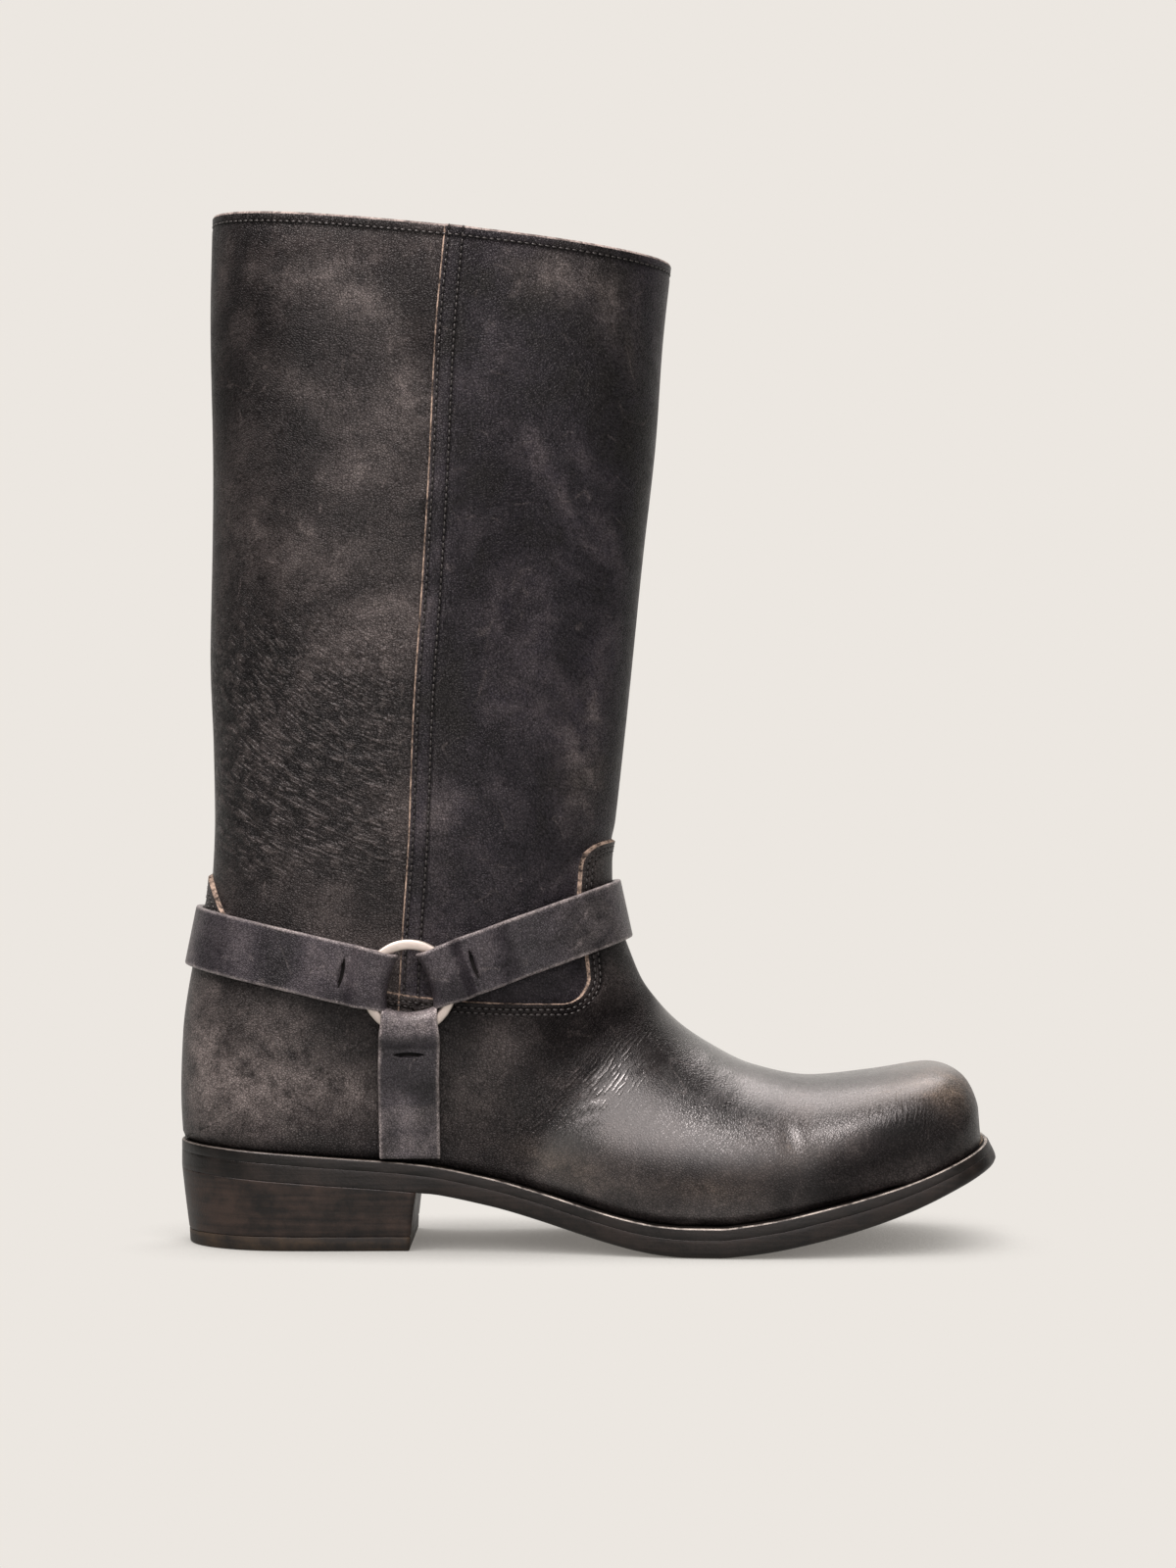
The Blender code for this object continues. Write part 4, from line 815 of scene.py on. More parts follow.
# Polish covers the vamp ahead of the ankle's crease and fades towards toe, sole and instep.
past_crease = (x + 19) * 0.75 - (z - 42) * 0.66
toe_side = ease((36 + (x - 83) * 0.49 - z) / 8 + 0.5) * ease((x - 78) / 14)
polish = ease((past_crease + 3) / 12) * ease((120 - z) / 30) * ease((x + 26) / 12) * (1 - 0.8 * toe_side)
polish *= 1 - 0.4 * ease((x - 42) / 36)
polish *= (1 - 0.55 * ease((44 - z) / 16)) * (1 - 0.35 * ease((z - 66) / 16))
# Fine wrinkles lie low on the shaft's rear, along the ankle's crease and over the toe.
shaft_fold = ease((-62 - x) / 10) * ease((z - 128) / 22) * ease((268 - z) / 60)
vamp_fold = 1.1 * np.exp(-((past_crease - 1) / 13) ** 2 - ((z - 58) / 24) ** 2) * ease((z - 37) / 8)
toe_fold = 0.6 * np.exp(-(((x - 118) / 16) ** 2 + ((z - 52) / 7) ** 2))
strongest = np.maximum(np.maximum(shaft_fold, vamp_fold), toe_fold)
wrinkle = 1.15 * np.maximum(strongest - 0.15, 0.0)

# Lasted edges over the welt, rows of the grid to one of the lining, first row where a lap's edge is raw.
OUTER_LIFT, LINING_LIFT, LINING_STRIDE, LAP_RAW_START = 0.1, 0.4, 6, ROW_HEEL + 18
outer_points = skin_grid + skin_normal * height[..., None]
outer_points[foot_edge, 2] = seat_top(outer_points[foot_edge, 0]) + OUTER_LIFT
inner_rows = [*range(0, ROW_COLLAR, LINING_STRIDE), ROW_COLLAR]
inner_points = skin_grid[inner_rows] - skin_normal[inner_rows] * WALL
inner_edge = foot_edge[inner_rows]
inner_points[inner_edge, 2] = seat_top(inner_points[inner_edge, 0]) + LINING_LIFT

outer_number = np.arange(ROWS * COLUMNS).reshape(ROWS, COLUMNS)
outer_number[ROW_HEEL:, 0] = outer_number[ROW_HEEL:, -1]
inner_number = ROWS * COLUMNS + np.arange(len(inner_rows) * COLUMNS).reshape(len(inner_rows), COLUMNS)
heel_inner = inner_rows.index(ROW_HEEL)
inner_number[heel_inner:, 0] = inner_number[heel_inner:, -1]


def grid_faces(number):
    """Faces of a grid of vertex numbers, row by row."""
    corners = np.stack([number[:-1, :-1], number[:-1, 1:], number[1:, 1:], number[1:, :-1]], axis=2)
    return corners.reshape(-1, 4).tolist()


LEATHER, RAW_EDGE, LINING, RIM = range(4)
faces = grid_faces(outer_number)
cell_row = np.arange(ROWS - 1)[:, None]
cell_reach = np.minimum(reach[:-1], reach[1:])[None, :]
raw = (cell_row == ROW_VAMP) & (cell_reach >= COL_TONGUE)
raw |= (cell_reach == COL_TONGUE) & (cell_row >= ROW_VAMP) & (cell_row < ROW_TONGUE + 1)
raw |= (cell_row == ROW_TONGUE) & (cell_reach < COL_TONGUE)
raw |= (cell_reach == COL_LAP) & (cell_row >= LAP_RAW_START)
slots = np.where(raw, RAW_EDGE, LEATHER)
slots[ROW_RIM:] = RIM
slots = slots.ravel().tolist()
inside_faces = grid_faces(inner_number)
faces += inside_faces
slots += [LINING] * len(inside_faces)
for k in range(COLUMNS - 1):
    for row, slot in ((-1, RIM), (0, LINING)):
        faces.append([*outer_number[row, k:k + 2], *inner_number[row, k:k + 2][::-1]])
        slots.append(slot)
for i in range(heel_inner):
    for k in (0, COLUMNS - 1):
        outer_run = outer_number[inner_rows[i]:inner_rows[i + 1] + 1, k]
        faces.append([*outer_run, inner_number[i + 1, k], inner_number[i, k]])
        slots.append(LINING)

used = np.unique(np.concatenate([np.ravel(face) for face in faces]))
renumber = np.full(int(used.max()) + 1, -1)
renumber[used] = np.arange(len(used))
points = np.concatenate([outer_points.reshape(-1, 3), inner_points.reshape(-1, 3)])[used]
faces = [[int(renumber[v]) for v in face] for face in faces]
upper = make_piece("upper_dressed", points, faces, slots, merge=False)


def point_values(piece, name, values):
    """Stores one number or one vector per vertex under a name the materials read."""
    values = np.asarray(values, float)
    kind = "FLOAT" if values.ndim == 1 else "FLOAT_VECTOR"
    layer = piece.data.attributes.new(name, kind, "POINT")
    layer.data.foreach_set("value" if values.ndim == 1 else "vector", values.ravel())


def grid_values(outer):
    """Values on the outer grid in the mesh's vertex order, the lining's all zero."""
    inner = np.zeros((len(inner_rows) * COLUMNS, *outer.shape[2:]))
    return np.concatenate([outer.reshape(-1, *outer.shape[2:]), inner])[used]


# Stitch lines darken the leather along them: wax, and painted shade in the sunk channels.
seam = np.zeros_like(rub)
for line in stitch_lines:
    for spot in line:
        seam[spot] = 1.0
# The shaft's front panel took a cooler dye.
cool = ((reach < COL_LAP)[None, :] & ~on_overlay).astype(float)
# Millimetres across and along the wrinkles: round a point high on the shaft, across the vamp, up the toe.
SHAFT_ARC, ARC_RADIUS = Mark(-29.0, 311.8), 130
SHAFT_END, VAMP_END = -50, 70
arc_radius = np.hypot(x - SHAFT_ARC.x, z - SHAFT_ARC.z)
arc_turn = np.arctan2(z - SHAFT_ARC.z, x - SHAFT_ARC.x)
shaft_flow = np.stack([arc_radius, arc_turn * ARC_RADIUS, y * 1.2], axis=2)
ahead, above = x + 20, z - 42
vamp_flow = np.stack([ahead * 0.77 - above * 0.64, ahead * 0.64 + above * 0.77, y * 0.2], axis=2)
toe_flow = np.stack([x - 0.25 * z, z, y * 0.2], axis=2)
foot_flow = np.where((x < VAMP_END)[..., None], vamp_flow, toe_flow)
flow = np.where((x < SHAFT_END)[..., None], shaft_flow, foot_flow)
for key, values in {"seam": seam, "rub": rub, "dye": dye, "tan": tan, "polish": polish, "wrinkle": wrinkle,
                    "cool": cool, "flow": flow}.items():
    point_values(upper, key, grid_values(values))


def worn_leather(name, dark, mid, cool, rubbed, rough, grain_mm):
    """Waxed cowhide: dye in smoky clouds, rubbed paler in places, pebbled grain, ridged where it creases.

    Pebbles and pores are drawn about 1 mm wide, coarser than real ones, so that they show.
    """
    material, tree, shader = new_material(name, Coat_Roughness=0.21, Specular_IOR_Level=0.3)
    place = node(tree, "TexCoord", out="Object")
    rub, dye, tan, polish, wrinkle, coolness, seam = (
        node(tree, "Attribute", out="Fac", attribute_name=key)
        for key in ("rub", "dye", "tan", "polish", "wrinkle", "cool", "seam"))
    flow = node(tree, "Attribute", out="Vector", attribute_name="flow")

    # Grain: pebbles with wandering borders, pores, mottling and the dye's clouds.
    stray = node(tree, "TexNoise", {"Vector": place, "Scale": 1000 / 2.0, "Detail": 2.0}, out="Color")
    warped = node(tree, "VectorMath", {0: stray, 1: (1.1 * MM,) * 3, 2: place}, operation="MULTIPLY_ADD")
    cells = node(tree, "TexVoronoi", {"Vector": warped, "Scale": 1000 / grain_mm},
                 feature="DISTANCE_TO_EDGE")
    pebble = node(tree, "MapRange", {0: cells, 1: 0.02, 2: 0.28}, interpolation_type="SMOOTHSTEP")
    pores = node(tree, "TexNoise", {"Vector": place, "Scale": 1000 / 1.0, "Detail": 4.0, "Roughness": 0.75})
    mottle = node(tree, "TexNoise", {"Vector": place, "Scale": 1000 / 7, "Detail": 5.0, "Roughness": 0.62})
    smoke = node(tree, "TexNoise", {"Vector": place, "Scale": 1000 / 42.0, "Detail": 6.0, "Roughness": 0.6,
                                    "Distortion": 0.5})

    # Wrinkles along the flow, whose unit is a millimetre: broken ridges, and a net of them on the shaft.
    # One band of a wave texture is 0.314 / Scale wide.
    wave = node(tree, "TexWave", {"Vector": flow, "Scale": 0.314 / 1.7, "Distortion": 9.0, "Detail": 2.5,
                                  "Detail Scale": 0.42, "Detail Roughness": 0.65}, out="Fac")
    drawn = node(tree, "Mapping", {"Vector": flow, "Scale": (1 / 2.6, 1 / 4.5, 1 / 9)})
    patch = node(tree, "TexNoise", {"Vector": drawn, "Scale": 1.0, "Detail": 2.0})
    patch = node(tree, "MapRange", {0: patch, 1: 0.4, 2: 0.62})
    thin = node(tree, "Math", {0: wave, 1: 2.5}, operation="POWER")
    woven = node(tree, "Mapping", {"Vector": flow, "Scale": (1 / 4.2, 1 / 6.5, 1 / 8)})
    net = node(tree, "TexVoronoi", {"Vector": woven, "Scale": 1.0}, feature="DISTANCE_TO_EDGE")
    net = node(tree, "MapRange", {0: net, 1: 0.0, 2: 0.2, 3: 0.0, 4: 1.1})
    net = node(tree, "Math", {0: thin, 1: 0.6, 2: net}, operation="MULTIPLY_ADD")
    ahead = node(tree, "SeparateXYZ", {0: place}, out="X")
    ahead = node(tree, "MapRange", {0: ahead, 1: -50 * MM, 2: -30 * MM})
    ridge = node(tree, "Mix", {0: ahead, 2: net, 3: thin})
    ridge = node(tree, "Math", {0: ridge, 1: patch}, operation="MULTIPLY")
    ridge = node(tree, "Math", {0: ridge, 1: wrinkle}, operation="MULTIPLY")

    # Hairline scratches: contours of a slow noise, broken up by the mottling.
    hair = node(tree, "TexNoise", {"Vector": place, "Scale": 1000 / 21.0, "Detail": 1.0, "Roughness": 0.4,
                                   "Distortion": 0.3})
    hair = node(tree, "Math", {0: hair, 1: 0.5}, operation="SUBTRACT")
    hair = node(tree, "Math", {0: hair}, operation="ABSOLUTE")
    hair = node(tree, "MapRange", {0: hair, 1: 0.002, 2: 0.012, 3: 1.0, 4: 0.0})
    broken = node(tree, "MapRange", {0: mottle, 1: 0.5, 2: 0.6})
    hair = node(tree, "Math", {0: hair, 1: broken}, operation="MULTIPLY")

    # Colour: dyed ground, worn to the rubbed tone or to tan, darker between the grain's tops, under the dark
    # ovals with their painted shade, and at seams with their wax and painted shade.
    clouds = node(tree, "MapRange", {0: smoke, 1: 0.4, 2: 0.64})
    tint = node(tree, "Mix", {0: coolness, 6: hex_linear(mid), 7: hex_linear(cool)},
                out=2, data_type="RGBA")
    ground = node(tree, "Mix", {0: clouds, 6: hex_linear(dark), 7: tint}, out=2, data_type="RGBA")
    uneven = node(tree, "MapRange", {0: mottle, 1: 0.3, 2: 0.68, 3: 0.15, 4: 1.2})
    worn = node(tree, "MapRange", {0: smoke, 1: 0.5, 2: 0.72, 3: 0.0, 4: 0.16})
    worn = node(tree, "Math", {0: rub, 1: 0.3, 2: worn}, operation="MULTIPLY_ADD")
    worn = node(tree, "Math", {0: worn, 1: uneven}, operation="MULTIPLY")
    # Wrinkle crests are painted paler: rubbed leather, and a painted highlight along the ridges.
    worn = node(tree, "Math", {0: ridge, 1: 0.09, 2: worn}, operation="MULTIPLY_ADD")
    worn = node(tree, "Math", {0: hair, 1: 0.1, 2: worn}, operation="MULTIPLY_ADD")
    crust = node(tree, "Mix", {0: tan, 6: hex_linear(rubbed), 7: hex_linear("#9c866a")},
                 out=2, data_type="RGBA")
    scuffed = node(tree, "Math", {0: tan, 1: 0.08, 2: worn}, operation="MULTIPLY_ADD")
    bare = node(tree, "Mix", {0: scuffed, 6: ground, 7: crust}, out=2, data_type="RGBA")
    tops = node(tree, "MapRange", {0: pores, 1: 0.3, 2: 0.7, 3: 0.15, 4: 0.98})
    tops = node(tree, "Math", {0: pebble, 1: 0.55, 2: tops}, operation="MULTIPLY_ADD")
    calm = node(tree, "Math", {0: polish, 1: 0.45}, operation="MULTIPLY")
    tops = node(tree, "Mix", {0: calm, 2: tops, 3: 0.9})
    # The dark ovals, part of them painted shade, and the seams' wax and painted shade darken the colour.
    shade = node(tree, "Math", {0: dye, 1: 0.7, 2: seam}, operation="MULTIPLY_ADD")
    shade = node(tree, "MapRange", {0: shade, 1: 0.0, 2: 1.0, 3: 1.0, 4: 0.2})
    tops = node(tree, "Math", {0: tops, 1: shade}, operation="MULTIPLY")
    colour = node(tree, "VectorMath", {0: bare, "Scale": tops}, operation="SCALE")
    tree.links.new(colour, shader.inputs["Base Color"])

    # Gloss: wax coat and tighter shine where polished, none where freshly dyed and where shade is painted.
    shine = node(tree, "MapRange", {0: mottle, 1: 0.3, 2: 0.7, 3: rough - 0.07, 4: rough + 0.09})
    shine = node(tree, "Math", {0: polish, 1: -0.1, 2: shine}, operation="MULTIPLY_ADD")
    tree.links.new(shine, shader.inputs["Roughness"])
    matt = node(tree, "MapRange", {0: dye, 1: 0.0, 2: 1.0, 3: 1.0, 4: 0.4})
    coat = node(tree, "Math", {0: polish, 1: matt}, operation="MULTIPLY")
    tree.links.new(coat, shader.inputs["Coat Weight"])
    level = node(tree, "Math", {0: polish, 1: 0.4, 2: 0.22}, operation="MULTIPLY_ADD")
    level = node(tree, "Math", {0: level, 1: matt}, operation="MULTIPLY")
    open_grain = node(tree, "MapRange", {0: tops, 1: 0.0, 2: 1.5, 3: 0.2, 4: 1.5})
    level = node(tree, "Math", {0: level, 1: open_grain}, operation="MULTIPLY")
    tree.links.new(level, shader.inputs["Specular IOR Level"])

    # Relief in millimetres: grain pressed flat by polish, folds pulled over the vamp. Wax hides the pores.
    relief = node(tree, "Math", {0: pebble, 1: 0.12}, operation="MULTIPLY")
    for height, weight in ((pores, 0.2), (mottle, 0.12)):
        relief = node(tree, "Math", {0: height, 1: weight, 2: relief}, operation="MULTIPLY_ADD")
    press = node(tree, "MapRange", {0: polish, 1: 0.0, 2: 1.0, 3: 1.0, 4: 0.3})
    relief = node(tree, "Math", {0: relief, 1: press}, operation="MULTIPLY")
    pulled = node(tree, "Mapping", {"Vector": place, "Rotation": (0.0, math.radians(40), 0.0),
                                    "Scale": (7 * MM, 14 * MM, 22 * MM)}, vector_type="TEXTURE")
    folds = node(tree, "TexNoise", {"Vector": pulled, "Scale": 1.0, "Detail": 1.5, "Roughness": 0.45})
    folds = node(tree, "Math", {0: folds, 1: polish}, operation="MULTIPLY")
    swell = node(tree, "Math", {0: folds, 1: ridge}, operation="ADD")
    relief = node(tree, "Math", {0: swell, 1: 0.3, 2: relief}, operation="MULTIPLY_ADD")
    waxed = node(tree, "Math", {0: pebble, 1: 0.1, 2: swell}, operation="MULTIPLY_ADD")
    waxed = node(tree, "Math", {0: waxed, 1: 0.3}, operation="MULTIPLY")
    for surface, socket in ((relief, "Normal"), (waxed, "Coat Normal")):
        bump = node(tree, "Bump", {"Height": surface, "Strength": 1.0, "Distance": MM})
        tree.links.new(bump, shader.inputs[socket])
    return material


def raw_cut(name, dark, light, grain_mm, dirt_mm):
    """Cut edge of leather: undyed fibre, fuzzy and uneven, dirtied in places."""
    material, tree, shader = new_material(name, Roughness=0.8, Specular_IOR_Level=0.2)
    place = node(tree, "TexCoord", out="Object")
    fibre, dirt = (
        node(tree, "TexNoise", {"Vector": place, "Scale": 1000 / mm, "Detail": detail, "Roughness": rough})
        for mm, detail, rough in ((grain_mm, 5.0, 0.7), (dirt_mm, 4.0, 0.6)))
    both = node(tree, "Math", {0: fibre, 1: dirt}, operation="MULTIPLY")
    tone = node(tree, "MapRange", {0: both, 1: 0.17, 2: 0.33})
    colour = node(tree, "Mix", {0: tone, 6: hex_linear(dark), 7: hex_linear(light)},
                  out=2, data_type="RGBA")
    tree.links.new(colour, shader.inputs["Base Color"])
    bump = node(tree, "Bump", {"Height": fibre, "Strength": 0.6, "Distance": 0.3 * MM})
    tree.links.new(bump, shader.inputs["Normal"])
    return material


# Worn charcoal cowhide: black wax dye over brown crust, grey-brown where rubbed, glossy over the vamp.
cowhide = worn_leather("waxed_charcoal_cowhide", "#0e0c0d", "#242020", "#1b1821", "#918885", 0.4, 1.0)
# Raw skived edge: light tan fibre along every overlay.
skived_edge = raw_cut("raw_skived_edge", "#241e1b", "#9c897b", 1.2, 5.0)
# Lining: soft undyed calf, greyed by wear.
lining = raw_cut("calf_lining", "#6e6257", "#a3937f", 2.5, 30.0)
# Collar's cut rim: pinkish-grey leather core.
cut_rim = raw_cut("collar_cut_rim", "#4a4341", "#8f8580", 1.0, 8.0)
for leather in (cowhide, skived_edge, lining, cut_rim):
    upper.data.materials.append(leather)
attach(upper, "root")
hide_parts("upper")

# Seam stitching.
# Waxed black linen thread, two rows beside each overlay's edge and each side lap, one row under the collar,
# each stitch pulled a little into the leather.
STITCH_PITCH, STITCH_HALF, THREAD_HALF, THREAD_PROUD = 2.6, 1.0, 0.42, 0.14
thread_tree = bpy.data.node_groups.new("stitches_along_lines", "GeometryNodeTree")
thread_tree.interface.new_socket("Geometry", in_out="INPUT", socket_type="NodeSocketGeometry")
for label in ("Pitch", "Half length", "Half thickness"):
    thread_tree.interface.new_socket(label, in_out="INPUT", socket_type="NodeSocketFloat")
thread_tree.interface.new_socket("Thread", in_out="INPUT", socket_type="NodeSocketMaterial")
thread_tree.interface.new_socket("Geometry", in_out="OUTPUT", socket_type="NodeSocketGeometry")
given = thread_tree.nodes.new("NodeGroupInput").outputs
chain = node(thread_tree, "GeometryNodeMeshToCurve", {"Mesh": given["Geometry"]})
chain = node(thread_tree, "GeometryNodeResampleCurve", {"Curve": chain, "Length": given["Pitch"]},
             mode="LENGTH")
heading = node(thread_tree, "GeometryNodeInputTangent")
turned = node(thread_tree, "FunctionNodeAlignRotationToVector", {"Vector": heading}, axis="Z")
bead = node(thread_tree, "GeometryNodeMeshUVSphere", {"Segments": 6, "Rings": 5, "Radius": 1.0})
size = node(thread_tree, "CombineXYZ", {
    "X": given["Half thickness"], "Y": given["Half thickness"], "Z": given["Half length"]})
sewn = node(thread_tree, "GeometryNodeInstanceOnPoints", {
    "Points": chain, "Instance": bead, "Rotation": turned, "Scale": size})
sewn = node(thread_tree, "GeometryNodeRealizeInstances", {"Geometry": sewn})
sewn = node(thread_tree, "GeometryNodeSetMaterial", {"Geometry": sewn, "Material": given["Thread"]})
node(thread_tree, "NodeGroupOutput", {"Geometry": sewn})

# Waxed thread: black, a little paler where the wax has caught dust.
thread, tree, shader = new_material("waxed_black_thread", Roughness=0.4)
place = node(tree, "TexCoord", out="Object")
wax = node(tree, "TexNoise", {"Vector": place, "Scale": 1000 / 1.43, "Detail": 3.0})
colour = node(tree, "Mix", {0: wax, 6: hex_linear("#070606"), 7: hex_linear("#2e2a29")},
              out=2, data_type="RGBA")
tree.links.new(colour, shader.inputs["Base Color"])


def sew(name, lines):
    """Stitches along polylines given in millimetres, made with the node tree and kept as a plain mesh."""
    points, joins = [], []
    for line in lines:
        start = len(points)
        points += [tuple(float(v) * MM for v in p) for p in line]
        joins += [(start + k, start + k + 1) for k in range(len(line) - 1)]
    path = bpy.data.meshes.new(name + "_path")
    path.from_pydata(points, joins, [])
    guide = bpy.data.objects.new(name + "_path", path)
    bpy.context.scene.collection.objects.link(guide)
    maker = guide.modifiers.new("stitches", "NODES")
    maker.node_group = thread_tree
    values = {"Pitch": STITCH_PITCH * MM, "Half length": STITCH_HALF * MM,
              "Half thickness": THREAD_HALF * MM, "Thread": thread}
    for item in thread_tree.interface.items_tree:
        if item.in_out == "INPUT" and item.name in values:
            maker[item.identifier] = values[item.name]
    depsgraph = bpy.context.evaluated_depsgraph_get()
    mesh = bpy.data.meshes.new_from_object(guide.evaluated_get(depsgraph), depsgraph=depsgraph)
    mesh.name = name
    mesh.shade_smooth()
    piece = bpy.data.objects.new(name, mesh)
    bpy.context.scene.collection.objects.link(piece)
    bpy.data.objects.remove(guide)
    return piece


thread_points = outer_points + skin_normal * THREAD_PROUD
upper_stitches = sew("seam_stitches", [[thread_points[spot] for spot in line] for line in stitch_lines])
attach(upper_stitches, "root")

# Harness rings.
# Cast rings of satin nickel, one on each side of the ankle, slightly flattened and scuffed by the straps.
RING_X, RING_Z, RING_DIAMETER, RING_WIRE = -66.2, 99.4, 35.2, 3.8
RING_RADIUS = (RING_DIAMETER - RING_WIRE) / 2
# The wire's flattening, the power that squares its section, and points round the ring and round the wire.
WIRE_FLAT, WIRE_SQUARE, RING_POINTS, WIRE_POINTS = 0.75, 0.55, 96, 24
# Middle of a strap over the last, and the radius of its fold, which lifts the ring.
STRAP_LOW, FOLD = 3.5, 3.3
RING_HEIGHT = STRAP_LOW + FOLD
# How far round the ring its seat is felt out, and the search for a section through a place in the side view.
SEAT_REACH, FIRST_SIDE_SECTION, HALVINGS = 12, 4.0, 34


def unit(v):
    """Vector of length one."""
    return v / np.linalg.norm(v)


def side_point(side, x, z):
    """Point of the last at a place in the side view, away from its outline."""
    low, high = FIRST_SIDE_SECTION, float(COLLAR)
    for _ in range(HALVINGS):
        r = (low + high) / 2
        foot, foot_z = section_foot(r)
        run, rise = float(crown_x(r)) - foot, float(crown_z(r)) - foot_z
        if run * (z - foot_z) - rise * (x - foot) > 0:
            low = r
        else:
            high = r
    points, _ = half_section((low + high) / 2, side)
    order = np.argsort(points[:, 0], kind="stable")
    return np.array([x, np.interp(x, points[order, 0], points[order, 1]), z])


def ring_seat(side):
    """Foot point and outward direction of the ring on one side."""
    along = side_point(side, RING_X + SEAT_REACH, RING_Z) - side_point(side, RING_X - SEAT_REACH, RING_Z)
    up = side_point(side, RING_X, RING_Z + SEAT_REACH) - side_point(side, RING_X, RING_Z - SEAT_REACH)
    normal = np.cross(along, up)
    return side_point(side, RING_X, RING_Z), unit(normal * side * np.sign(normal[1]))


# Satin nickel: dull silver with a warm cast, fine scuffs that roughen it in patches.
nickel, tree, shader = new_material("satin_nickel", Metallic=1.0)
place = node(tree, "TexCoord", out="Object")
scuff = node(tree, "TexNoise", {"Vector": place, "Scale": 1000 / 3.85, "Detail": 6.0, "Roughness": 0.7})
colour = node(tree, "Mix", {0: scuff, 6: hex_linear("#9d948c"), 7: hex_linear("#d2c9c2")},
              out=2, data_type="RGBA")
tree.links.new(colour, shader.inputs["Base Color"])
dull = node(tree, "MapRange", {0: scuff, 1: 0.3, 2: 0.7, 3: 0.38, 4: 0.6})
tree.links.new(dull, shader.inputs["Roughness"])
bump = node(tree, "Bump", {"Height": scuff, "Strength": 0.3, "Distance": 0.2 * MM})
tree.links.new(bump, shader.inputs["Normal"])
for label, side in (("outer", -1), ("inner", 1)):
    seat, normal = ring_seat(side)
    first = unit(np.cross(normal, np.array([0.0, 0.0, 1.0])))
    second = np.cross(normal, first)
    loops = []
    for a in np.linspace(0, 2 * math.pi, RING_POINTS + 1)[:-1]:
        spoke = first * math.cos(a) + second * math.sin(a)
        b = np.linspace(0, 2 * math.pi, WIRE_POINTS + 1)[:-1]
        wide, flat = (np.copysign(np.abs(f(b)) ** WIRE_SQUARE, f(b)) for f in (np.cos, np.sin))
        loops.append(seat + normal * RING_HEIGHT + spoke * RING_RADIUS + RING_WIRE / 2 * (
            wide[:, None] * spoke + WIRE_FLAT * flat[:, None] * normal))
    ring = loft(f"ring_{label}_dressed", loops, ring=True)
    ring.data.materials.append(nickel)
    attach(ring, "root")
    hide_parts(f"ring_{label}")

# Harness straps.
# Bridle-thick cowhide straps with burnished edges worn pale. Each folds round its ring and is doubled back
# under itself; a slit beside the fold takes the end. The short ones run down into the welt seam.
STRAP_WIDTH, STRAP_THICK = 22.6, 2.4
SLIT_AT, SLIT_LENGTH, SLIT_WIDTH, SLIT_DEEP, SLIT_LIP = 25.0, 11.0, 1.7, 1.8, 0.35
# Slope of the two long straps in the side view, sections between which they lie, points of a line, and how
# far past the ring's middle it starts, as a share of the section.
FRONT_STRAP_RISE, BACK_STRAP_RISE = 0.345, -0.205
RING_BETWEEN, STRAP_BETWEEN, STRAP_POINTS, PAST_RING = (8, 21), (7.5, 22), 160, 0.1
# Distances from the ring's middle: the doubled end, the top layer's drop behind the ring, where it comes
# down to a single layer, the end of the fold and the start of the plain strap; then the doubled part's lift.
STRAP_RETURN, DROP_START, DROP_RUN, THIN_START, THIN_RUN = 29.0, 17.9, 5.3, 31, 10.5
FOLD_END, PLAIN_START, DOUBLE_LIFT = 44, 45, 2.5
# Stretch that gives the heading and first frame of a fold, where it turns from the ring's plane to the
# last's, where it widens and straightens, and how far its dye runs.
HEADING_FROM, HEADING_TO, FIRST_FRAME = 2, 14, 16
TURN_START, TURN_RUN, WIDEN_START, WIDEN_RUN, BOW_RUN, DYE_RUN = 18.5, 16, 13, 7, 8, 40
# The boot's upright axis, to tell outwards from inwards, and the slit distance of a station that has none.
AXIS_X, NO_SLIT = -70.0, 99.0
STRAP_STEP, DOWN_STEP, TANGENT_REACH, WEAR_RUN = 2.5, 1.5, 1.5, 35
# The short strap starts above its ring and is pressed in where it runs into the welt seam; its wear is even.
DOWN_ABOVE, DOWN_POINTS, WELT_CLEAR = 14, 120, 0.8
DOWN_TUCK, DOWN_TUCK_RUN, DOWN_WEAR = 0.8, 16, 0.35
# Wear along a strap's edges, from a share of its half-width outwards, polish, depth at which a slit shows.
EDGE_WEAR, EDGE_WEAR_FROM, EDGE_WEAR_RUN, STRAP_POLISH, SLIT_SHOWS = 1.7, 0.86, 0.12, 0.15, 0.3
EDGE_SHARES = np.concatenate([(-1, -0.985, -0.94), np.linspace(-0.88, 0.88, 23), (0.94, 0.985, 1)])
EDGE_ROUND = np.interp(np.abs(EDGE_SHARES), (0, 0.94, 0.985, 1), (1, 1, 0.8, 0.3))
# A fold's width, its distance from the ring's middle, the bow of its crest, and how it is worn or dyed.
Fold = namedtuple("Fold", "width reach bow wear")
SIDE_FOLD, DOWN_FOLD = Fold(21.4, 12.2, 1.9, -0.45), Fold(20.6, 13.7, 2.6, 0.7)
Station = namedtuple("Station", "place across bow slit rub")


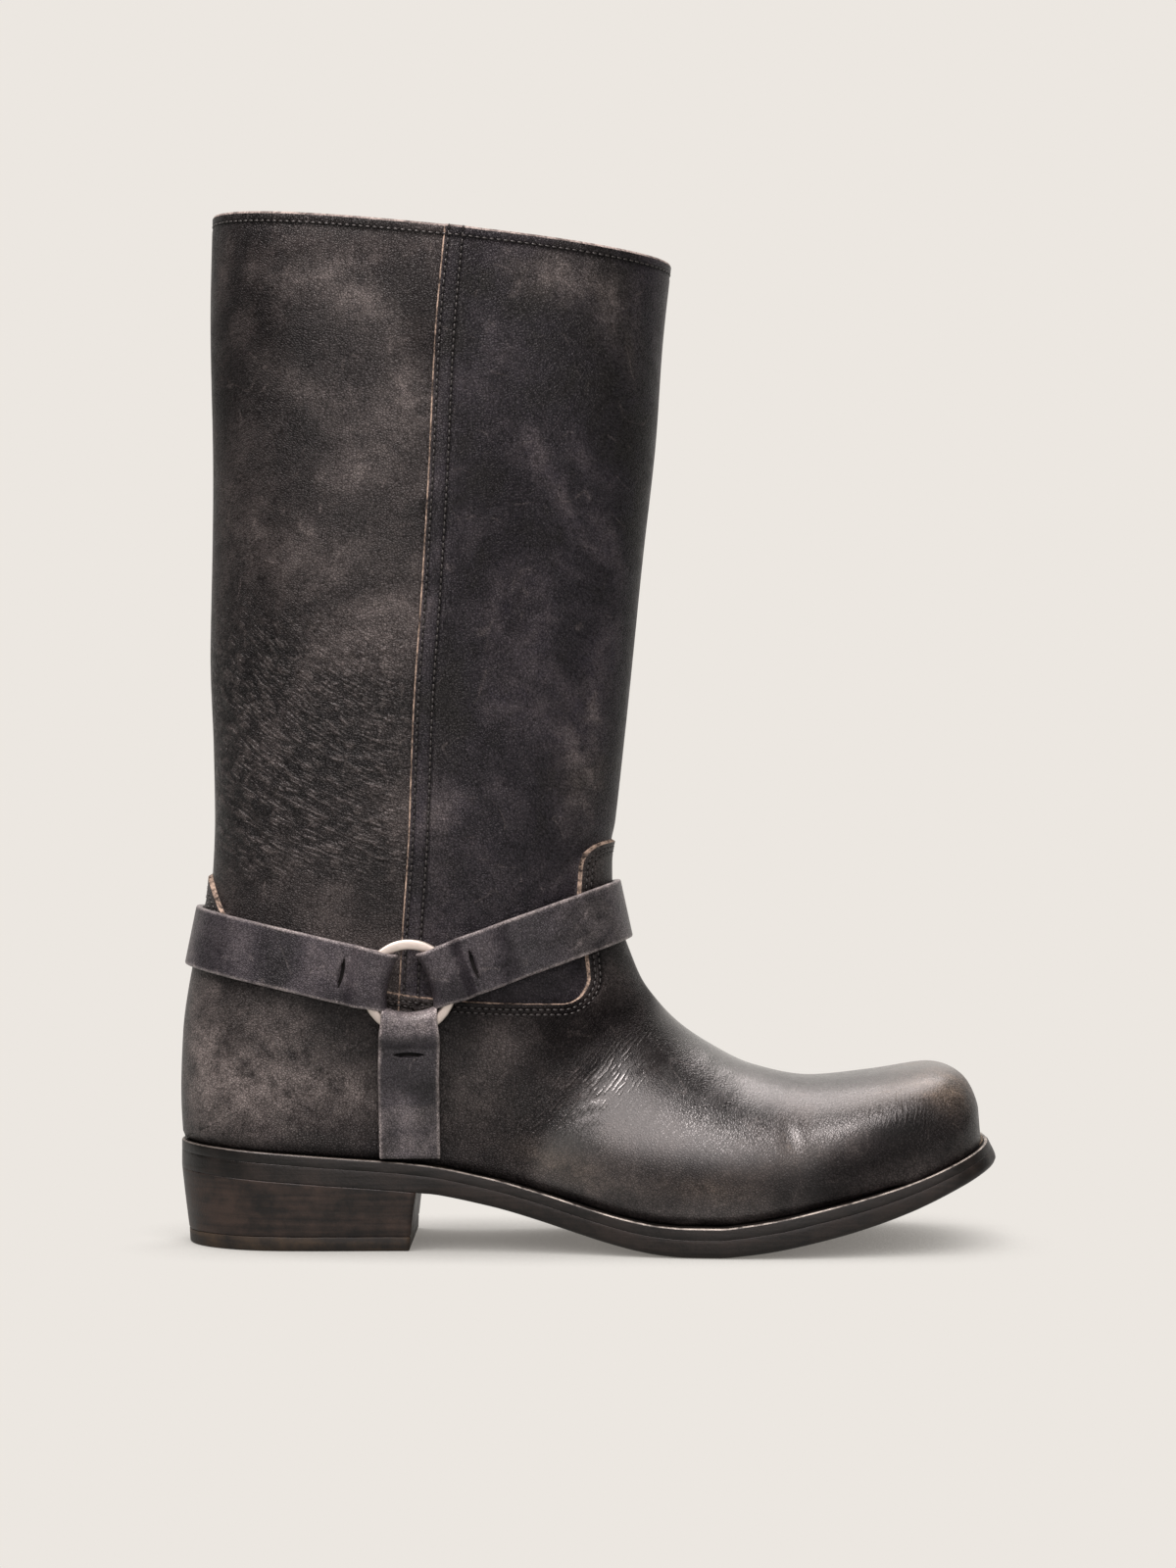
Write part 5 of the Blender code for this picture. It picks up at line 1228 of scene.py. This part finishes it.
class Run:
    """Centre line of a strap on the last with its two edges, measured from a ring's middle."""

    def __init__(self, middle, first, second):
        self.middle, self.first, self.second = middle, first, second
        steps = np.linalg.norm(np.diff(middle, axis=0), axis=1)
        self.length = np.concatenate([[0], np.cumsum(steps)])
        self.start = 0.0

    def along(self, s):
        """Point of the centre line at distance s."""
        return np.array([np.interp(s + self.start, self.length, self.middle[:, k]) for k in range(3)])

    def edge(self, line, point, tangent):
        """Point at which an edge crosses the plane square to the strap at a point."""
        near = np.linalg.norm(line - point, axis=1) < 2 * STRAP_WIDTH
        ahead = (line - point) @ tangent
        crossing = np.nonzero(near[:-1] & (ahead[:-1] <= 0) & (ahead[1:] > 0))[0]
        if len(crossing):
            i = crossing[0]
            f = ahead[i] / (ahead[i] - ahead[i + 1])
            return line[i] * (1 - f) + line[i + 1] * f
        return line[np.argmin(np.where(near, np.abs(ahead), 1e9))]

    def frame(self, s):
        """Foot point, outward direction and width direction at distance s."""
        point = self.along(s)
        tangent = unit(self.along(s + TANGENT_REACH) - self.along(s - TANGENT_REACH))
        a, b = self.edge(self.first, point, tangent), self.edge(self.second, point, tangent)
        across = unit(a - b)
        out = unit(np.cross(tangent, across))
        if out @ (point - np.array([AXIS_X, 0.0, point[2]])) < 0:
            out = -out
        foot = (a + b) / 2
        return foot + out * max((point - foot) @ out, 0.0), out, across


def fold_path(fold):
    """Strap's end at a ring: distance from the ring's middle, height over the last, 1 for the top layer."""
    path = [(s, STRAP_LOW, 0) for s in np.linspace(STRAP_RETURN, fold.reach, 14)]
    for a in np.radians(np.linspace(-90, 90, 19)[1:-1]):
        path.append((fold.reach - FOLD * math.cos(a), RING_HEIGHT + FOLD * math.sin(a), 1))
    top, lay = RING_HEIGHT + FOLD, STRAP_LOW + DOUBLE_LIFT
    near_ring, at_slit = np.arange(fold.reach, 22.5, 0.6), np.arange(22.6, 27.5, 0.3)
    for s in np.concatenate([near_ring, at_slit, np.arange(28, FOLD_END, 1.0)]):
        drop = (top - lay) * ease((s - DROP_START) / DROP_RUN)
        drop += (lay - STRAP_LOW) * ease((s - THIN_START) / THIN_RUN)
        path.append((s, top - float(drop), 1))
    return path


def ring_end(run, side, fold):
    """Stations of a strap's folded end at the ring of one side, where the run starts."""
    seat, normal = ring_seat(side)
    heading = run.along(HEADING_TO) - run.along(HEADING_FROM)
    heading = unit(heading - normal * (heading @ normal))
    flat = np.cross(heading, normal)
    stations = []
    for s, h, on_top in fold_path(fold):
        foot, out, across = run.frame(max(s, FIRST_FRAME))
        if flat @ across < 0:
            flat = -flat
        m = float(ease((s - TURN_START) / TURN_RUN))
        rise = unit(normal * (1 - m) + out * m)
        widened = float(ease((s - WIDEN_START) / WIDEN_RUN))
        half = fold.width / 2 + on_top * (STRAP_WIDTH - fold.width) / 2 * widened
        bow = heading * -fold.bow * float(1 - ease((s - WIDEN_START) / BOW_RUN))
        slit = s - SLIT_AT if on_top else NO_SLIT
        wear_run = DYE_RUN if fold.wear < 0 else BOW_RUN
        crest = fold.wear * float(1 - ease((s - WIDEN_START) / wear_run)) * on_top
        place = (seat + heading * s) * (1 - m) + foot * m + rise * h
        stations.append(Station(place, unit(flat * (1 - m) + across * m) * half, bow, slit, crest))
    return stations


def plain_station(place, across, wear):
    """Station of the plain strap between its folds."""
    return Station(place, across * STRAP_WIDTH / 2, np.zeros(3), NO_SLIT, wear)


def strap(name, stations, leather):
    """Strap with rounded edges through its stations, the slit pressed through its upper layer."""
    fixed = [stations[0]]
    for station in stations[1:]:
        turn = 1 if station.across @ fixed[-1].across > 0 else -1
        fixed.append(station._replace(across=station.across * turn))
    loops, rub, pierced = [], [], []
    count = len(fixed)
    for i, station in enumerate(fixed):
        tangent = unit(fixed[min(i + 1, count - 1)].place - fixed[max(i - 1, 0)].place)
        out = unit(np.cross(tangent, station.across))
        half = np.linalg.norm(station.across)
        w = EDGE_SHARES[:, None]
        lens = np.clip(1 - (EDGE_SHARES * half / (SLIT_LENGTH / 2)) ** 2, 0, 1) * SLIT_WIDTH / 2
        cut = SLIT_DEEP * ease((lens - abs(station.slit)) / SLIT_LIP + 0.5) * (lens > 0)
        thick = STRAP_THICK / 2 * EDGE_ROUND[:, None]
        spine = station.place + station.across * w + station.bow * w**2
        faces_out = bool(out @ (station.place - np.array([AXIS_X, 0.0, station.place[2]])) > 0)
        face_up = spine + out * (thick - faces_out * cut[:, None])
        face_down = spine - out * (thick - (not faces_out) * cut[:, None])
        loops.append(np.concatenate([face_up, face_down[::-1]]))
        edge = EDGE_WEAR * ease((np.abs(EDGE_SHARES) - EDGE_WEAR_FROM) / EDGE_WEAR_RUN) + station.rub
        rub.append(np.concatenate([edge, edge[::-1]]))
        sunk = cut > SLIT_SHOWS * SLIT_DEEP
        pierced.append(np.concatenate([sunk & faces_out, (sunk & (not faces_out))[::-1]]))
    piece = loft(name, loops, strip=False)
    piece.data.materials.append(leather)
    # Faces sunk deep in the slit take the near-black painted shade.
    piece.data.materials.append(slit_painted_shade)
    pierced = np.concatenate(pierced)
    for face in piece.data.polygons:
        face.material_index = int(pierced[list(face.vertices)].sum() >= 3)
    rub = np.concatenate(rub)
    point_values(piece, "rub", np.maximum(rub, 0))
    point_values(piece, "dye", np.maximum(-rub, 0))
    point_values(piece, "polish", np.full(len(piece.data.vertices), STRAP_POLISH))
    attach(piece, "root")
    return piece


# Strap leather: denser and a little bluer than the upper, smoother grain, edges and folds worn pale.
strap_leather = worn_leather("bridle_strap_leather", "#161418", "#3f3b41", "#3f3b41", "#b8afad", 0.42, 0.95)
# Inside of a slit: painted shade, the cut leather coloured near black where it lies in shadow.
slit_painted_shade = raw_cut("black_painted_slit_shade", "#030202", "#0c0a09", 1.0, 8.0)
for name, rise, share_end, wear in (
        ("strap_front", FRONT_STRAP_RISE, 0, 0.3), ("strap_back", BACK_STRAP_RISE, 1, -0.5)):
    lift = STRAP_WIDTH / 2 * math.sqrt(1 + rise * rise)
    lines = []
    for shift in (0, lift, -lift):
        line = []
        for side in (-1, 1):
            level = on_line(side, SHARES, lambda x: RING_Z + 0 * x, *RING_BETWEEN)
            at_ring = np.interp(-RING_X, -skin(side, level, SHARES)[:, 0], SHARES)
            start = at_ring + (PAST_RING if share_end == 0 else -PAST_RING)
            c = np.linspace(start, share_end, STRAP_POINTS)
            r = on_line(side, c, lambda x: RING_Z + shift + rise * (x - RING_X), *STRAP_BETWEEN)
            line.append(skin(side, r, c))
        lines.append(np.concatenate([line[0], line[1][-2::-1]]))
    run, back = Run(*lines), Run(*[line[::-1] for line in lines])
    ends = []
    for side in (-1, 1):
        ends.append(float(run.length[np.argmin(np.linalg.norm(run.middle - ring_seat(side)[0], axis=1))]))
    run.start, back.start = ends[0], float(run.length[-1] - ends[1])
    stations = ring_end(run, -1, SIDE_FOLD)
    apart = ends[1] - ends[0]
    for s in np.arange(PLAIN_START + 0.5, apart - PLAIN_START + 0.5, STRAP_STEP):
        foot, out, across = run.frame(s)
        worn = wear * float(ease((min(s, apart - s) - PLAIN_START) / WEAR_RUN))
        stations.append(plain_station(foot + out * STRAP_LOW, across, worn))
    stations += ring_end(back, 1, SIDE_FOLD)[::-1]
    piece = strap(name + "_dressed", stations, strap_leather)
    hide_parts(name)
for label, side in (("outer", -1), ("inner", 1)):
    heights = np.linspace(RING_Z + DOWN_ABOVE, float(seat_top(RING_X)) + WELT_CLEAR, DOWN_POINTS)
    run = Run(*[np.array([side_point(side, RING_X + shift, z) for z in heights])
                for shift in (0, STRAP_WIDTH / 2, -STRAP_WIDTH / 2)])
    run.start = float(np.interp(-RING_Z, -heights, run.length))
    end = float(run.length[-1] - run.start)
    stations = ring_end(run, side, DOWN_FOLD)
    for s in np.arange(PLAIN_START, end, DOWN_STEP):
        foot, out, across = run.frame(s)
        low = STRAP_LOW - DOWN_TUCK * float(ease((s - end + DOWN_TUCK_RUN) / DOWN_TUCK_RUN))
        stations.append(plain_station(foot + out * low, across, DOWN_WEAR))
    piece = strap(f"strap_down_{label}_dressed", stations, strap_leather)
    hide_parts(f"strap_down_{label}")

# Studio.
# Pale seamless paper swept up behind the boot, a softbox high at the left in front, a wide fill behind the
# camera and a weak box behind the boot. Sizes here are in metres.
PAPER_NEAR, BEND_START, BEND_RADIUS, PAPER_TOP, PAPER_HALF = -3.0, 1.2, 0.8, 4.0, 4.0
sweep = [(PAPER_NEAR, 0.0), (BEND_START, 0.0)]
for a in np.radians(np.linspace(0, 90, 13)[1:]):
    sweep.append((BEND_START + BEND_RADIUS * math.sin(a), BEND_RADIUS - BEND_RADIUS * math.cos(a)))
sweep.append((BEND_START + BEND_RADIUS, PAPER_TOP))
paper_mesh = bpy.data.meshes.new("seamless_paper")
paper_mesh.from_pydata([(x, y, z) for y, z in sweep for x in (-PAPER_HALF, PAPER_HALF)], [], [
    (2 * k, 2 * k + 1, 2 * k + 3, 2 * k + 2) for k in range(len(sweep) - 1)])
paper_mesh.shade_smooth()
paper = bpy.data.objects.new("seamless_paper", paper_mesh)
bpy.context.scene.collection.objects.link(paper)
# Background paper: evenly bright off-white that glows, with a painted contact shadow, grey where ambient
# occlusion finds the boot close. Far in front of the boot its glow dims, a painted fall-off of light, so that
# it doesn't mirror in the vamp.
paper_white, tree, shader = new_material("matt_background_paper", Roughness=1.0, Specular_IOR_Level=0.0)
shader.inputs["Base Color"].default_value = (0.0, 0.0, 0.0, 1.0)
# Painted contact shadow: the glow turns grey where the boot is near.
clear_of_painted_shadow = node(tree, "AmbientOcclusion", {"Distance": 0.065}, out="AO", samples=4)
clear_of_painted_shadow = node(tree, "MapRange", {0: clear_of_painted_shadow, 1: 0.1, 2: 0.75})
colour = node(tree, "Mix", {0: clear_of_painted_shadow, 6: hex_linear("#6f6b66"), 7: hex_linear("#ece7e1")},
              out=2, data_type="RGBA")
tree.links.new(colour, shader.inputs["Emission Color"])
place = node(tree, "TexCoord", out="Object")
# Painted fall-off of light: the glow dims towards the camera.
nearness = node(tree, "SeparateXYZ", {0: place}, out="Y")
lit = node(tree, "MapRange", {0: nearness, 1: -1.3, 2: -0.65, 3: 0.12, 4: 1.0})
tree.links.new(lit, shader.inputs["Emission Strength"])
paper_mesh.materials.append(paper_white)

world = bpy.data.worlds.new("studio_light")
world.use_nodes = True
world.node_tree.nodes["Background"].inputs["Color"].default_value = hex_linear("#f4f1ec")
world.node_tree.nodes["Background"].inputs["Strength"].default_value = 0.12
bpy.context.scene.world = world
SOFTBOX_TINT = "#fff4f1"
SoftBox = namedtuple("SoftBox", "name place aim size power")
for box in (
    SoftBox("key_softbox", (-0.45, -0.62, 1.5), (0.0, 0, 0.05), 0.85, 48.0),
    SoftBox("front_fill", (0.3, -2.2, 1.15), (0, 0, 0.15), 2.4, 56.0),
    SoftBox("back_softbox", (0.15, 0.65, 1.3), (0.08, 0, 0.06), 0.9, 12.5),
):
    lamp = bpy.data.lights.new(box.name, "AREA")
    lamp.size, lamp.energy, lamp.color = box.size, box.power, hex_linear(SOFTBOX_TINT)[:3]
    holder = bpy.data.objects.new(box.name, lamp)
    holder.location = box.place
    holder.rotation_euler = (Vector(box.aim) - Vector(box.place)).to_track_quat("-Z", "Y").to_euler()
    bpy.context.scene.collection.objects.link(holder)

# The photo's camera: square on to the outer side, at half the boot's height.
EYE_DISTANCE, EYE_HEIGHT = 1.150, 0.174
lens = bpy.data.cameras.new("side_view")
lens.lens, lens.sensor_width = 69.0, 36.0
eye = bpy.data.objects.new("side_view", lens)
eye.location = (0.0, -EYE_DISTANCE, EYE_HEIGHT)
eye.rotation_euler = (math.pi / 2, 0.0, 0.0)
bpy.context.scene.collection.objects.link(eye)
bpy.context.scene.camera = eye
bpy.context.scene.view_settings.view_transform = "Standard"
